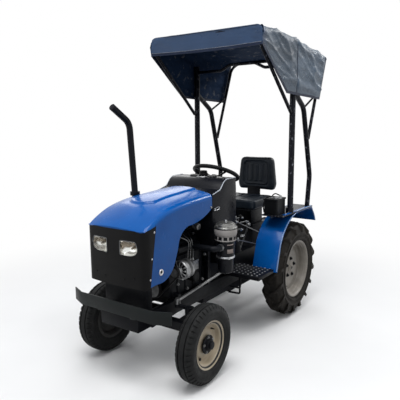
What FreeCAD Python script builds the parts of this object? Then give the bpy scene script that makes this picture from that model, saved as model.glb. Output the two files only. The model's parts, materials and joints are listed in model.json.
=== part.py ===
import FreeCAD, Part
import math
import os

# Mini tractor with an open driver's place under a cloth canopy.
# Millimetres. +X is the tractor's left, -Y its front, +Z up.
# The origin is on the ground under the middle of the whole machine.

V = FreeCAD.Vector
X_AXIS = V(1, 0, 0)
Y_AXIS = V(0, 1, 0)
Z_AXIS = V(0, 0, 1)
SIDES = {"left": 1, "right": -1}

# ---------------------------------------------------------------- clearances
SEAT_GAP = 0.3
RUNNING_GAP = 0.05
SWING_GAP = 6.0
EXTRA = 1.0  # how far a cutting tool runs past what it cuts

# ---------------------------------------------------------------- axles
WHEELBASE = 1334.0
FRONT_AXLE_Y = -728.0
REAR_AXLE_Y = FRONT_AXLE_Y + WHEELBASE
TYRE_OVER_LIP = 1.0
RIM_LIP_T = 4.0
HUB_CHAMFER = 4.0

# ---------------------------------------------------------------- front wheels
FRONT_TYRE_R = 248.0
FRONT_TYRE_W = 128.0
FRONT_TRACK_HALF = 408.0
FRONT_RIB_HALF = 17.0
FRONT_GROOVE_W = 7.0
FRONT_GROOVE_DEPTH = 9.0
FRONT_CROWN = 3.0
FRONT_SIDEWALL_RISE = 16.0
FRONT_SHOULDER_DROP = 24.0
FRONT_SHOULDER_IN = 16.0
FRONT_BARREL_R = 134.0
FRONT_BARREL_SKIN = 8.0
FRONT_LIP_R = 154.0
FRONT_RIM_W = 96.0
FRONT_LIP_W = 6.0
FRONT_DISC_X = 12.0
FRONT_DISC_T = 6.0
FRONT_DISH = 14.0
FRONT_DISH_W = 40.0
FRONT_HUB_R = 36.0
FRONT_HUB_BACK_X = -46.0
FRONT_HUB_TIP_X = 62.0
FRONT_HUB_TIP_R = 26.0
SPINDLE_R = 17.0
SPINDLE_REACH = 18.0
SPINDLE_COLLAR = 8.0
SPINDLE_COLLAR_GAP = 0.5
SPINDLE_BORE_SPARE = 4.0

# ---------------------------------------------------------------- rear wheels
REAR_TYRE_R = 387.0
REAR_LUG_H = 24.0
REAR_LUG_W = 25.0
REAR_LUG_SWEEP = 72.0
REAR_LUGS_A_SIDE = 16
REAR_LUG_PAST_MIDDLE = 4.0
REAR_BULGE_R = 300.0
REAR_BULGE_IN = 4.0
REAR_TREAD_HALF = 56.0
REAR_SHOULDER_DROP = 37.0
REAR_CROWN_HALF = 46.0
REAR_TYRE_W = 172.0
REAR_TRACK_HALF = 373.0
REAR_BARREL_R = 212.0
REAR_BARREL_SKIN = 10.0
REAR_LIP_R = 236.0
REAR_RIM_W = 142.0
REAR_LIP_W = 8.0
REAR_DISC_X = -12.0
REAR_DISC_T = 8.0
REAR_DISH = 18.0
REAR_DISH_W = 56.0
REAR_HUB_R = 62.0
REAR_HUB_REACH = 34.0
REAR_FLANGE_R = REAR_HUB_R + 40.0
REAR_FLANGE_T = 16.0
REAR_BOLT_PCD = 150.0
REAR_BOLT_R = 11.0
REAR_BOLT_LEN = 22.0
REAR_BOLTS = 5
REAR_SHAFT_R = 24.0
REAR_SHAFT_IN_X = 180.0

# ---------------------------------------------------------------- front axle
KINGPIN_X = 300.0
KINGPIN_R = 16.0
KINGPIN_BOSS_DROP = 32.0
KINGPIN_BOSS_STEP = 2.0
KINGPIN_STUB = 6.0
SLEEVE_R = 30.0
SLEEVE_LEN = 165.0
SLEEVE_RISE = 27.0
SLEEVE_LOW_Z = FRONT_TYRE_R + SLEEVE_RISE
SLEEVE_TOP_Z = SLEEVE_LOW_Z + SLEEVE_LEN
AXLE_BEAM = 56.0
AXLE_BEAM_Z = SLEEVE_LOW_Z + 47.0
AXLE_PIVOT_R = 18.0
AXLE_BOSS_R = 42.0
AXLE_BOSS_LEN = 84.0
GUSSET_T = 12.0
GUSSET_REACH = 100.0

# ---------------------------------------------------------------- steering links
ARM_LEN = 92.0
ARM_T = 18.0
ARM_HALF_W = 14.0
EYE_R = 20.0
TIE_ARM_LEN = 112.0
TIE_ARM_Z = FRONT_TYRE_R - 16.0
TIE_ROD_R = 11.0
TIE_ROD_RISE = 21.0
BALL_R = 17.0
BALL_OVER_ROD = 16.0
ARM_TOP_Z = SLEEVE_TOP_Z + SEAT_GAP + ARM_T
PITMAN_Y = -130.0
PITMAN_LOW_Z = 538.0
PITMAN_TOP_Z = PITMAN_LOW_Z + ARM_LEN
PITMAN_T = 16.0
PITMAN_SHAFT_R = 15.0
PITMAN_SHAFT_LEN = 40.0
PITMAN_BOSS_R = 24.0
DRAG_X = KINGPIN_X - ARM_LEN
DRAG_EYE_HALF = 14.0
DRAG_ROD_R = 10.0
DRAG_FRONT_RISE = 24.0
DRAG_FRONT_GAP = 1.0

# ---------------------------------------------------------------- frame
RAIL_OUT_X = 152.0
RAIL_IN_X = 112.0
RAIL_WALL = 7.0
RAIL_LOW_Z = 365.0
RAIL_TOP_Z = 455.0
RAIL_FRONT_Y = -1030.0
RAIL_REAR_Y = 150.0
CROSS_T = 12.0
EAR_T = 20.0
EAR_HALF_W = 46.0
EAR_DROP = 40.0
EAR_GAP = 1.0
EAR_WEB_H = 30.0

# ---------------------------------------------------------------- bumper
BUMPER_FRONT_Y = -1076.0
BUMPER_T = 7.0
BUMPER_HALF_W = 392.0
BUMPER_FLAT_HALF = 290.0
BUMPER_SWEEP = 44.0
BUMPER_LOW_Z = 465.0
BUMPER_TOP_Z = 545.0
BUMPER_FOOT_T = 12.0
BUMPER_FOOT_LEN = 34.0
BUMPER_WEB_T = 8.0

# ---------------------------------------------------------------- hood
HOOD_REAR_Y = -369.0
HOOD_HALF_W = 235.0
HOOD_T = 4.0
HOOD_CROWN = 24.0
HOOD_SHOULDER_R = 34.0
HOOD_SHOULDER_Z = 1122.0
HOOD_CLEAR_Y = -1120.0
HOOD_CLEAR_Z = 1200.0
HOOD_PANEL_HALF = 97.0
HOOD_PANEL_RISE = 9.0
HOOD_PANEL_FRONT_Y = -850.0
HOOD_PANEL_NOSE = 50.0
PANEL_REAR_Z = 1023.0
PANEL_SWEEP_Y = -490.0
PANEL_SWEEP_Z = 970.0
PANEL_STEP_Y = -640.0
PANEL_STEP_Z = 950.0
PANEL_ELBOW_Y = -716.0
PANEL_ELBOW_Z = 908.0
PANEL_DROP_Y = -750.0
PANEL_DROP_Z = 830.0
PANEL_HEEL_Y = -785.0
PANEL_HEEL_Z = 748.0
PANEL_TOE_Y = -838.0
PANEL_TOE_Z = 682.0
PANEL_SOLE_Y = -915.0
PANEL_SOLE_Z = 655.0
HINGE_X = 150.0
HINGE_Z = HOOD_SHOULDER_Z - 4.0
HINGE_PIN_R = 4.0
HINGE_EYE_R = 7.5
HINGE_EYE_HALF = 9.0
HINGE_LUG_T = 5.0
HINGE_LUG_REACH = 18.0
HINGE_SIDE_GAP = 1.0
MASK_FRONT_Y = -1068.0
MASK_CORNER_X = 198.0
MASK_CORNER_Y = -1056.0
MASK_SIDE_Y = -1004.0
MASK_LOW_Z = 643.0
MASK_TOP_Z = 985.0
MASK_EDGE_LOW_Y = -1015.0
MASK_EDGE_LOW_Z = MASK_LOW_Z + 10.0
MASK_EDGE_TOP_Y = -955.0
MASK_EDGE_TOP_Z = MASK_TOP_Z + 22.0
MASK_BROW_Y = -1040.0
MASK_SEAM = 0.3
LAMP_DEPTH = 60.0
LAMP_SINK = 1.0
LAMP_IN_X = 52.0
LAMP_OUT_X = 180.0
LAMP_LOW_X = 130.0
LAMP_LOW_Z = 836.0
LAMP_TOP_Z = 922.0
LAMP_CORNER_Z = 880.0
LAMP_TOP_CUT = 14.0
LAMP_LOW_CUT = 13.0
LAMP_LOW_RISE = 14.0

# ---------------------------------------------------------------- radiator and engine
RADIATOR_HALF_W = 165.0
RADIATOR_FRONT_Y = -985.0
RADIATOR_T = 60.0
RADIATOR_TOP_Z = 900.0
TANK_H = 45.0
TANK_ROUND_R = 14.0
NECK_R = 24.0
RADIATOR_FOOT_T = 14.0
ENGINE_HALF_W = 105.0
HEAD_HALF_W = 93.0
COVER_HALF_W = 64.0
ENGINE_FRONT_Y = -690.0
ENGINE_REAR_Y = -330.0
SUMP_LOW_Z = 400.0
BLOCK_LOW_Z = 460.0
BLOCK_TOP_Z = 720.0
HEAD_TOP_Z = 810.0
COVER_TOP_Z = 880.0
SUMP_INSET = 20.0
HEAD_INSET = 20.0
COVER_ROUND_R = 16.0
CAP_R = 20.0
CAP_H = 14.0
CYLINDERS = 3
RUNNER_R = 15.0
RUNNER_LEN = 35.0
FLANGE_T = 10.0
ENGINE_FOOT_LEN = 36.0
ENGINE_FOOT_H = 30.0
BLOCK_RIBS = 5
RIB_T = 8.0
RIB_DEPTH = 7.0
CRANK_Z = 520.0
CRANK_PULLEY_R = 66.0
CRANK_SHAFT_R = 18.0
ALTERNATOR_X = 182.0
ALTERNATOR_Z = 658.0
ALTERNATOR_R = 64.0
ALTERNATOR_FRONT_Y = -686.0
ALTERNATOR_REAR_Y = -566.0
ALTERNATOR_SHAFT_R = 9.0
ALTERNATOR_VENTS = 8
ALTERNATOR_VENT_R = 7.0
ALTERNATOR_NOSE = 14.0
ALTERNATOR_WAIST_W = 14.0
ALTERNATOR_WAIST_D = 5.0
ALTERNATOR_FOOT_LEN = 60.0
ALTERNATOR_FOOT_H = 30.0
ALTERNATOR_PULLEY_R = 34.0
PULLEY_FRONT_Y = -730.0
PULLEY_W = 22.0
BELT_W = 14.0
BELT_T = 10.0
BELT_PROUD = 4.0
FAN_Z = 660.0
FAN_Y = -775.0
FAN_R = 128.0
FAN_HUB_R = 34.0
FAN_BLADES = 6
FAN_BLADE_W = 44.0
FAN_BLADE_PITCH = 30.0
FAN_SHAFT_R = 14.0
FAN_BLADE_T = 3.0
FAN_BLADE_DEPTH = 26.0
EXHAUST_X = -278.0
EXHAUST_Y = -556.0
EXHAUST_PORT_Z = 760.0
EXHAUST_R = 22.0
EXHAUST_TOP_Z = 1692.0
EXHAUST_BEND_Z = 1590.0
EXHAUST_FLANGE_Z = 1096.0
EXHAUST_FLANGE_R = 34.0
EXHAUST_FLANGE_H = 26.0
EXHAUST_LEAN = 5.0
EXHAUST_TOP_LEAN = 42.0
EXHAUST_TIP_LEN = 158.0
EXHAUST_BENDS = (60.0, 60.0, 90.0)
MANIFOLD_R = 24.0
OIL_FILTER_R = 36.0
OIL_FILTER_LEN = 70.0
OIL_FILTER_Y = -466.0
OIL_FILTER_Z = 560.0
OIL_FILTER_ROUND = 12.0
PUMP_Y = -490.0
PUMP_Z = 640.0
PUMP_HALF_LEN = 60.0
PUMP_W = 50.0
PUMP_H = 66.0
PUMP_OUTLET_R = 8.0
PUMP_OUTLET_H = 14.0
STARTER_R = 42.0
STARTER_LEN = 170.0
STARTER_Z = 560.0
SOLENOID_R = 22.0
SOLENOID_SINK = 6.0
CLEANER_X = 320.0
CLEANER_Y = -334.0
CLEANER_R = 60.0
CLEANER_LOW_Z = 582.0
CLEANER_CLAMP_Z = 694.0
CLEANER_HEAD_Z = 808.0
CLEANER_HEAD_R = 78.0
CLEANER_TOP_Z = 946.0
CLEANER_STRAP_Z = 750.0
CLEANER_STRAP_H = 40.0
CLEANER_STRAP_T = 28.0
CLEANER_STRAP_DY = 22.0
CLEANER_STEP = 8.0
CLEANER_BAND_T = 4.0
CLEANER_BAND_W = 8.0
CLEANER_RIM_H = 26.0
CLEANER_KNOB_R = 8.0
CLEANER_KNOB_H = 18.0
CLEANER_NECK_LEN = 14.0
CLEANER_NECK_Y = CLEANER_Y - CLEANER_R - CLEANER_NECK_LEN
HOSE_R = 20.0
HOSE_BEND_R = 36.0
HOSE_REACH = 50.0
INTAKE_Z = 768.0

# ---------------------------------------------------------------- driveline
CASE_HALF_W = RAIL_IN_X
CASE_LOW_Z = 262.0
CASE_TOP_Z = 560.0
CASE_REAR_Y = REAR_AXLE_Y + 130.0
FINAL_FRONT_Y = REAR_AXLE_Y - 120.0
LIFT_FRONT_Y = REAR_AXLE_Y - 160.0
LIFT_INSET = 10.0
GEARBOX_FRONT_Y = 60.0
GEARBOX_RISE = 20.0
BELL_LOW_Z = 300.0
BELL_TOP_Z = 580.0
BELL_FRONT_LEN = 30.0
TRUMPET_R = 62.0
TRUMPET_FLANGE_R = 84.0
TRUMPET_FLANGE_T = 16.0
TRUMPET_END_X = 250.0
WHEEL_FLANGE_GAP = 3.0
LIFT_TOP_Z = 745.0
PTO_R = 17.5
PTO_LEN = 70.0
PTO_Z = 470.0

# ---------------------------------------------------------------- linkage and hitch
LINK_X = 150.0
LINK_PIVOT_Y = REAR_AXLE_Y + 84.0
LINK_PIVOT_Z = 310.0
LINK_PIN_R = 14.0
LINK_END_Y = 1076.0
LINK_EYE_R = 11.2
LINK_EYE_OUT_R = 24.0
LINK_FRONT_R = 27.0
LINK_EYE_HALF = 18.0
LINK_DROP = 50.0
LINK_T = 16.0
LINK_BAR_FRONT_HALF = 20.0
LINK_BAR_REAR_HALF = 18.0
LINK_PIN_SPARE = 6.0
LIFT_ARM_LEN = 180.0
LIFT_ARM_Z = 655.0
LIFT_SHAFT_R = 20.0
LIFT_BOSS_R = 28.0
LIFT_TIP_R = 17.0
LIFT_ROD_T = 14.0
LIFT_ROD_R = 6.5
TOP_LINK_R = 10.0
TOP_LINK_Z = 720.0
TOP_LINK_REACH = 94.0
TOP_LINK_HALF_W = 34.0
TOP_LINK_GAP_HALF = 20.0
TOP_LINK_MARGIN = 24.0
TOP_LINK_ROOT_H = 100.0
DRAW_HOLE_R = 13.0
DRAW_LEN = 200.0
DRAW_HOLE_REACH = 170.0
DRAW_HALF_W = 40.0
DRAW_LOW_Z = 268.0
DRAW_T = 16.0
HITCH_PLATE_HALF = 90.0
HITCH_PLATE_T = 12.0
HITCH_PLATE_TOP_Z = 400.0

# ---------------------------------------------------------------- fenders and floor
FENDER_OUT_X = 470.0
FENDER_IN_X = 260.0
FENDER_T = 4.0
FENDER_FRONT_Y = 163.0
FENDER_FOOT_Z = 470.0
FENDER_RAKE = 60.0
FENDER_KNEE_Z = 674.0
FENDER_CROWN_Y = 560.0
FENDER_BACK_Y = 808.0
FENDER_BACK_MID = 72.0
FENDER_BACK_DROP = 60.0
FENDER_REAR_Y = 924.0
FENDER_LIP_Z = 747.0
FENDER_WALL_Z = 760.0
FENDER_WALL_REAR_Y = 800.0
FENDER_WALL_LOW_REAR_Y = 770.0
FENDER_WALL_FRONT_Y = 400.0
FENDER_WALL_FOOT_Y = 230.0
FENDER_BRACKET_Z = 600.0
FENDER_BRACKET_T = 6.0
FENDER_BRACKET_HALF = 40.0
FOOTPLATE_TOP_Z = 490.0
FOOTPLATE_FRONT_Y = -76.0
FOOTPLATE_OUT_X = 440.0
FOOTPLATE_T = 5.0
FOOTPLATE_EDGE = 24.0
STAY_X = 282.0
STAY_R = 7.0
STAY_DROP = 108.0
STAY_TOE = 86.0

# ---------------------------------------------------------------- roof frame and canopy
POST_X = 441.0
POST_R = 23.0
POST_Y = 441.0
POST_TOP_Z = 2060.0
PLATE_LOW_Z = 880.0
PLATE_T = 8.0
PLATE_TOP_Z = PLATE_LOW_Z + PLATE_T
PLATE_IN_X = FENDER_IN_X + 30.0
PLATE_FRONT_Y = 235.0
PLATE_REAR_Y = 840.0
POST_FOOT_R = 31.0
POST_FOOT_H = 40.0
POST_FOOT_SHIFT = 4.0
BENT_R = 20.0
BENT_FOOT_Y = 788.0
BENT_KNEE_Y = 825.0
BENT_KNEE_Z = 1145.0
BENT_BEND_Y = 655.0
BENT_BEND_Z = 1700.0
BENT_TOP_Z = 1832.0
BENT_KNEE_R = 160.0
BENT_BEND_R = 120.0
BOW_R = 13.0
BOW_X = 442.0
FRONT_BOW_JOINT_Z = 1664.0
FRONT_BAR_Y = -108.0
FRONT_BAR_LOW_Z = 2105.0
VALANCE_H = 95.0
FRONT_BAR_TOP_Z = FRONT_BAR_LOW_Z + VALANCE_H
FRONT_BAR_END = 12.0
FRONT_ELBOW_R = 30.0
FRONT_CORNER_R = 60.0
BOW_CLAMP_R = 10.0
REAR_BOW_FOOT_Y = 765.0
REAR_BOW_FOOT_Z = 1452.0
REAR_BAR_Y = 1036.0
REAR_BAR_Z = 2136.0
BOW_CORNER_R = 90.0
BOW_STAY_R = 8.0
BOW_STAY_HIGH_Z = 1815.0
CROSSBAR_R = 12.0
CROSSBAR_Z = 2011.0
CROSSBAR_RISE = 41.0
CROSSBAR_STEP_OUT = 200.0
CROSSBAR_STEP_IN = 115.0
CROSSBAR_BEND_R = 60.0
CLOTH_T = 4.0
CLOTH_SIDE_GAP = 2.0
CLOTH_ROUND_R = 34.0
RIDGE_Y = 240.0
RIDGE_RISE = 6.0
FLAP_LOW_Z = 1795.0
FLAP_FRONT_Y = 265.0
FLAP_REAR_Y = 920.0
FLAP_REAR_DROP = 20.0

# ---------------------------------------------------------------- driver's place
CONSOLE_FRONT_Y = HOOD_REAR_Y + SWING_GAP
CONSOLE_REAR_Y = -52.0
CONSOLE_HALF_W = HOOD_HALF_W
CONSOLE_WALL = 6.0
CONSOLE_LOW_Z = 700.0
CONSOLE_FRONT_TOP_Z = HOOD_SHOULDER_Z - 10.0
CONSOLE_TOP_Z = 1200.0
CONSOLE_CHIN = 60.0
CONSOLE_CHIN_Z = 940.0
CONSOLE_SWEEP_Y = -262.0
CONSOLE_SWEEP_Z = 1135.0
CONSOLE_BEND_Y = -229.0
CONSOLE_BEND_Z = 1176.0
CONSOLE_CROWN_Y = -190.0
CONSOLE_RAKE = 8.0
CONSOLE_REAR_DROP = 80.0
CONSOLE_LEG_W = 32.0
CONSOLE_LEG_GAP = 4.0
GAUGE_X = 78.0
GAUGE_Y = -125.0
GAUGE_R = 34.0
GAUGE_H = 9.0
WHEEL_Y = 51.0
WHEEL_Z = 1208.0
WHEEL_RING_R = 170.0
WHEEL_TUBE_R = 13.0
WHEEL_TILT = 24.0
WHEEL_SPOKES = 3
SPOKE_R = 8.0
HUB_R = 30.0
HUB_DROP = 60.0
HUB_TOP_DROP = 18.0
COLUMN_R = 24.0
COLUMN_COLLAR_R = 32.0
COLUMN_COLLAR_LEN = 50.0
COLUMN_LEN = 560.0
COLUMN_ROOM = 2.0
STEER_BOX_HALF_W = 70.0
STEER_BOX_HALF_LEN = 55.0
STEER_BOX_RISE = 60.0
STEER_BOX_GAP = 10.0
STEER_WELL_HALF = 45.0
STEER_WELL_FRONT = 75.0
SEAT_FRONT_Y = 265.0
SEAT_LEN = 388.0
SEAT_HALF_W = 215.0
SEAT_LOW_Z = 905.0
SEAT_TOP_Z = 985.0
SEAT_CORNER_R = 40.0
CUSHION_GAP = 2.0
PAN_T = 12.0
PAN_HALF_W = 170.0
PAN_ROUND_R = 20.0
PEDESTAL_HALF_W = 90.0
PEDESTAL_FRONT_Y = REAR_AXLE_Y - 150.0
PEDESTAL_FLARE = 20.0
BACK_STRAP_HALF = 60.0
BACK_STRAP_T = 16.0
PAN_REAR_Y = SEAT_FRONT_Y + SEAT_LEN + CUSHION_GAP + BACK_STRAP_T
BACK_Y = 690.0
BACK_T = 72.0
BACK_HALF_W = 188.0
BACK_TOP_HALF_W = 152.0
BACK_LOW_Z = 1005.0
BACK_TOP_Z = 1300.0
BACK_WAIST_Z = 60.0
BACK_CORNER = 24.0
BACK_SHELF_H = 50.0
LEVER_Y = 160.0
LEVER_X = 50.0
LEVER_KNOB_X = 120.0
LEVER_KNOB_Z = 860.0
LEVER_LEAN = 30.0
LEVER_R = 7.0
KNOB_R = 18.0
BOOT_H = 12.0
BOOT_WIDER = 10.0
SIDE_LEVER_X = 90.0
SIDE_LEVER_Y = 260.0
SIDE_LEVER_KNOB_X = 190.0
SIDE_LEVER_KNOB_Z = 800.0
SIDE_LEVER_LEAN = 34.0
SIDE_LEVER_R = 6.0
SIDE_KNOB_R = 16.0
PEDAL_X = (170.0, -150.0, -205.0)
PEDAL_FOOT_Y = 20.0
PEDAL_PAD_Y = -46.0
PEDAL_PAD_Z = 665.0
PEDAL_PAD_HALF = 26.0
PEDAL_PAD_T = 20.0
PEDAL_PAD_H = 70.0
PEDAL_ARM_R = 9.0
PEDAL_FOOT_R = 12.0
PEDAL_FOOT_H = 40.0
BATTERY_IN_X = 300.0
BATTERY_OUT_X = 425.0
BATTERY_FRONT_Y = 245.0
BATTERY_REAR_Y = 405.0
BATTERY_H = 112.0
BATTERY_LID_T = 13.0
BATTERY_LID_OVER = 5.0
BATTERY_ROUND_R = 12.0


# ================================================================ helpers
def box(x0, x1, y0, y1, z0, z1):
    return Part.makeBox(x1 - x0, y1 - y0, z1 - z0, V(x0, y0, z0))


def side_box(side, x_in, x_out, y0, y1, z0, z1):
    """A box between two distances from the middle plane, on one side."""
    near = min(side * x_in, side * x_out)
    far = max(side * x_in, side * x_out)
    return box(near, far, y0, y1, z0, z1)


def rod(radius, start, end):
    run = end - start
    return Part.makeCylinder(radius, run.Length, start, run)


def cross_rod(radius, x0, x1, y, z):
    return rod(radius, V(x0, y, z), V(x1, y, z))


def fused(shapes):
    first = shapes[0]
    whole = first.multiFuse(shapes[1:]) if len(shapes) > 1 else first
    return whole.removeSplitter()


def outline_face(place, runs):
    """A closed outline: each run is a point, or a (through, end) pair for an arc."""
    edges = []
    first = place(*runs[0])
    last = first
    for run in runs[1:]:
        if isinstance(run[0], tuple):
            end = place(*run[1])
            edges.append(Part.Arc(last, place(*run[0]), end).toShape())
        else:
            end = place(*run)
            edges.append(Part.LineSegment(last, end).toShape())
        last = end
    if (last - first).Length > SEAT_GAP / 10:
        edges.append(Part.LineSegment(last, first).toShape())
    return Part.Face(Part.Wire(edges))


def slab_x(runs, x0, x1):
    """Extrude a (y, z) outline from x0 to x1."""
    return outline_face(lambda y, z: V(x0, y, z), runs).extrude(V(x1 - x0, 0, 0))


def slab_y(runs, y0, y1):
    """Extrude an (x, z) outline from y0 to y1."""
    return outline_face(lambda x, z: V(x, y0, z), runs).extrude(V(0, y1 - y0, 0))


def slab_z(runs, z0, z1):
    """Extrude an (x, y) outline from z0 to z1."""
    return outline_face(lambda x, y: V(x, y, z0), runs).extrude(V(0, 0, z1 - z0))


def spun(runs, centre, axis):
    """Turn a (radius, along) outline about an axis through centre."""
    side = X_AXIS if abs(axis.z) > abs(axis.x) + abs(axis.y) else Z_AXIS
    face = outline_face(lambda radius, reach: centre + side * radius + axis * reach, runs)
    return face.revolve(centre, axis, 360)


def bent_path(points, radii):
    """A wire of straight runs joined by tangent arcs."""
    edges = []
    last = points[0]
    for index in range(1, len(points) - 1):
        corner = points[index]
        before = (points[index - 1] - corner).normalize()
        after = (points[index + 1] - corner).normalize()
        half = before.getAngle(after) / 2
        radius = radii[index - 1]
        start = corner + before * (radius / math.tan(half))
        end = corner + after * (radius / math.tan(half))
        middle = corner + (before + after).normalize() * (radius / math.sin(half) - radius)
        edges.append(Part.LineSegment(last, start).toShape())
        edges.append(Part.Arc(start, middle, end).toShape())
        last = end
    edges.append(Part.LineSegment(last, points[-1]).toShape())
    return Part.Wire(edges)


def bent_rod(points, radii, radius):
    """A round bar along straight runs and tangent arcs."""
    path = bent_path(points, radii)
    ring = Part.Wire(Part.Circle(points[0], points[1] - points[0], radius).toShape())
    return path.makePipeShell([ring], True, False)


def runs_along(axis):
    """Chooses straight edges that run along an axis."""
    def chooser(edge):
        if not isinstance(edge.Curve, Part.Line):
            return False
        return abs(abs(edge.tangentAt(edge.FirstParameter).dot(axis)) - 1) < 1e-6
    return chooser


def rounded(shape, radius, chooser):
    return shape.makeFillet(radius, [edge for edge in shape.Edges if chooser(edge)])


def turned(shape, centre, axis, count):
    """Copies of a shape, evenly spaced about an axis."""
    copies = []
    for index in range(count):
        copy = shape.copy()
        copy.rotate(centre, axis, 360.0 * index / count)
        copies.append(copy)
    return copies


def mirrored(shape):
    return shape.mirror(V(0, 0, 0), X_AXIS)


def on_side(shape, side):
    return shape if side == "left" else mirrored(shape)


# ================================================================ wheels
def front_wheel_centre():
    return V(FRONT_TRACK_HALF, FRONT_AXLE_Y, FRONT_TYRE_R)


def rear_wheel_centre():
    return V(REAR_TRACK_HALF, REAR_AXLE_Y, REAR_TYRE_R)


def both_ways(runs):
    """A wheel section: the given half, then its mirror image back to the start."""
    return runs + [(radius, -reach) for radius, reach in reversed(runs)]


def front_tyre():
    half = FRONT_TYRE_W / 2
    bead_half = FRONT_RIM_W / 2 - FRONT_LIP_W - SEAT_GAP
    tread = FRONT_TYRE_R - FRONT_CROWN
    groove_in = FRONT_RIB_HALF
    groove_out = FRONT_RIB_HALF + FRONT_GROOVE_W
    groove_slope = FRONT_CROWN
    section = both_ways([
        (FRONT_BARREL_R + FRONT_BARREL_SKIN, bead_half),
        (FRONT_LIP_R + TYRE_OVER_LIP, bead_half),
        (FRONT_LIP_R + FRONT_SIDEWALL_RISE, half),
        (FRONT_TYRE_R - FRONT_SHOULDER_DROP, half),
        (tread, half - FRONT_SHOULDER_IN),
        (tread, groove_out + groove_slope),
        (tread - FRONT_GROOVE_DEPTH, groove_out),
        (tread - FRONT_GROOVE_DEPTH, groove_in + groove_slope),
        (FRONT_TYRE_R, groove_in),
    ])
    return spun(section, front_wheel_centre(), X_AXIS)


def front_rim():
    half = FRONT_RIM_W / 2
    bead_half = half - FRONT_LIP_W
    face = FRONT_DISC_X
    back = face - FRONT_DISC_T
    bore = SPINDLE_R + RUNNING_GAP
    bore_end = face + SPINDLE_REACH + SPINDLE_BORE_SPARE
    lip_in = FRONT_LIP_R - RIM_LIP_T
    seat = FRONT_BARREL_R + FRONT_BARREL_SKIN
    section = [
        (bore, FRONT_HUB_BACK_X),
        (FRONT_HUB_R, FRONT_HUB_BACK_X),
        (FRONT_HUB_R, back),
        (FRONT_BARREL_R - FRONT_DISH_W, back - FRONT_DISH),
        (FRONT_BARREL_R, back - FRONT_DISH),
        (FRONT_BARREL_R, -bead_half),
        (lip_in, -half),
        (FRONT_LIP_R, -half),
        (FRONT_LIP_R, RIM_LIP_T - half),
        (seat, -bead_half),
        (seat, bead_half),
        (FRONT_LIP_R, half - RIM_LIP_T),
        (FRONT_LIP_R, half),
        (lip_in, half),
        (FRONT_BARREL_R, bead_half),
        (FRONT_BARREL_R, face - FRONT_DISH),
        (FRONT_BARREL_R - FRONT_DISH_W, face - FRONT_DISH),
        (FRONT_HUB_R, face),
        (FRONT_HUB_TIP_R, FRONT_HUB_TIP_X - HUB_CHAMFER),
        (FRONT_HUB_TIP_R - HUB_CHAMFER, FRONT_HUB_TIP_X),
        (0.0, FRONT_HUB_TIP_X),
        (0.0, bore_end),
        (bore, bore_end),
    ]
    return spun(section, front_wheel_centre(), X_AXIS)


def rear_lug(flank):
    """One slanted tread bar, before its top is cut to the tyre's round shape."""
    centre = rear_wheel_centre()
    half = REAR_LUG_W / 2
    tip_x = flank * (REAR_TYRE_W / 2 + EXTRA)
    mid_x = -flank * REAR_LUG_PAST_MIDDLE
    outline = [(mid_x, -half), (tip_x, REAR_LUG_SWEEP - half), (tip_x, REAR_LUG_SWEEP + half), (mid_x, half)]
    bar = slab_z(outline, REAR_BULGE_R, REAR_TYRE_R + EXTRA)
    bar.translate(centre)
    return bar


def rear_tyre():
    """Carcass with two rows of slanted lugs, one row half a pitch behind the other."""
    centre = rear_wheel_centre()
    half = REAR_TYRE_W / 2
    base = REAR_TYRE_R - REAR_LUG_H
    bead_half = REAR_RIM_W / 2 - REAR_LIP_W - SEAT_GAP
    carcass = spun(both_ways([
        (REAR_BARREL_R + REAR_BARREL_SKIN, bead_half),
        (REAR_LIP_R + TYRE_OVER_LIP, bead_half),
        (REAR_BULGE_R, half - REAR_BULGE_IN),
        (base, REAR_TREAD_HALF),
    ]), centre, X_AXIS)
    envelope = spun(both_ways([
        (REAR_BULGE_R, half),
        (REAR_TYRE_R - REAR_SHOULDER_DROP, half),
        (REAR_TYRE_R, REAR_CROWN_HALF),
    ]), centre, X_AXIS)
    lugs = []
    for flank in SIDES.values():
        row = turned(rear_lug(flank), centre, X_AXIS, REAR_LUGS_A_SIDE)
        if flank < 0:
            for lug in row:
                lug.rotate(centre, X_AXIS, 180.0 / REAR_LUGS_A_SIDE)
        lugs.extend(row)
    return carcass.multiFuse(Part.makeCompound(lugs).common(envelope).Solids)


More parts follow.
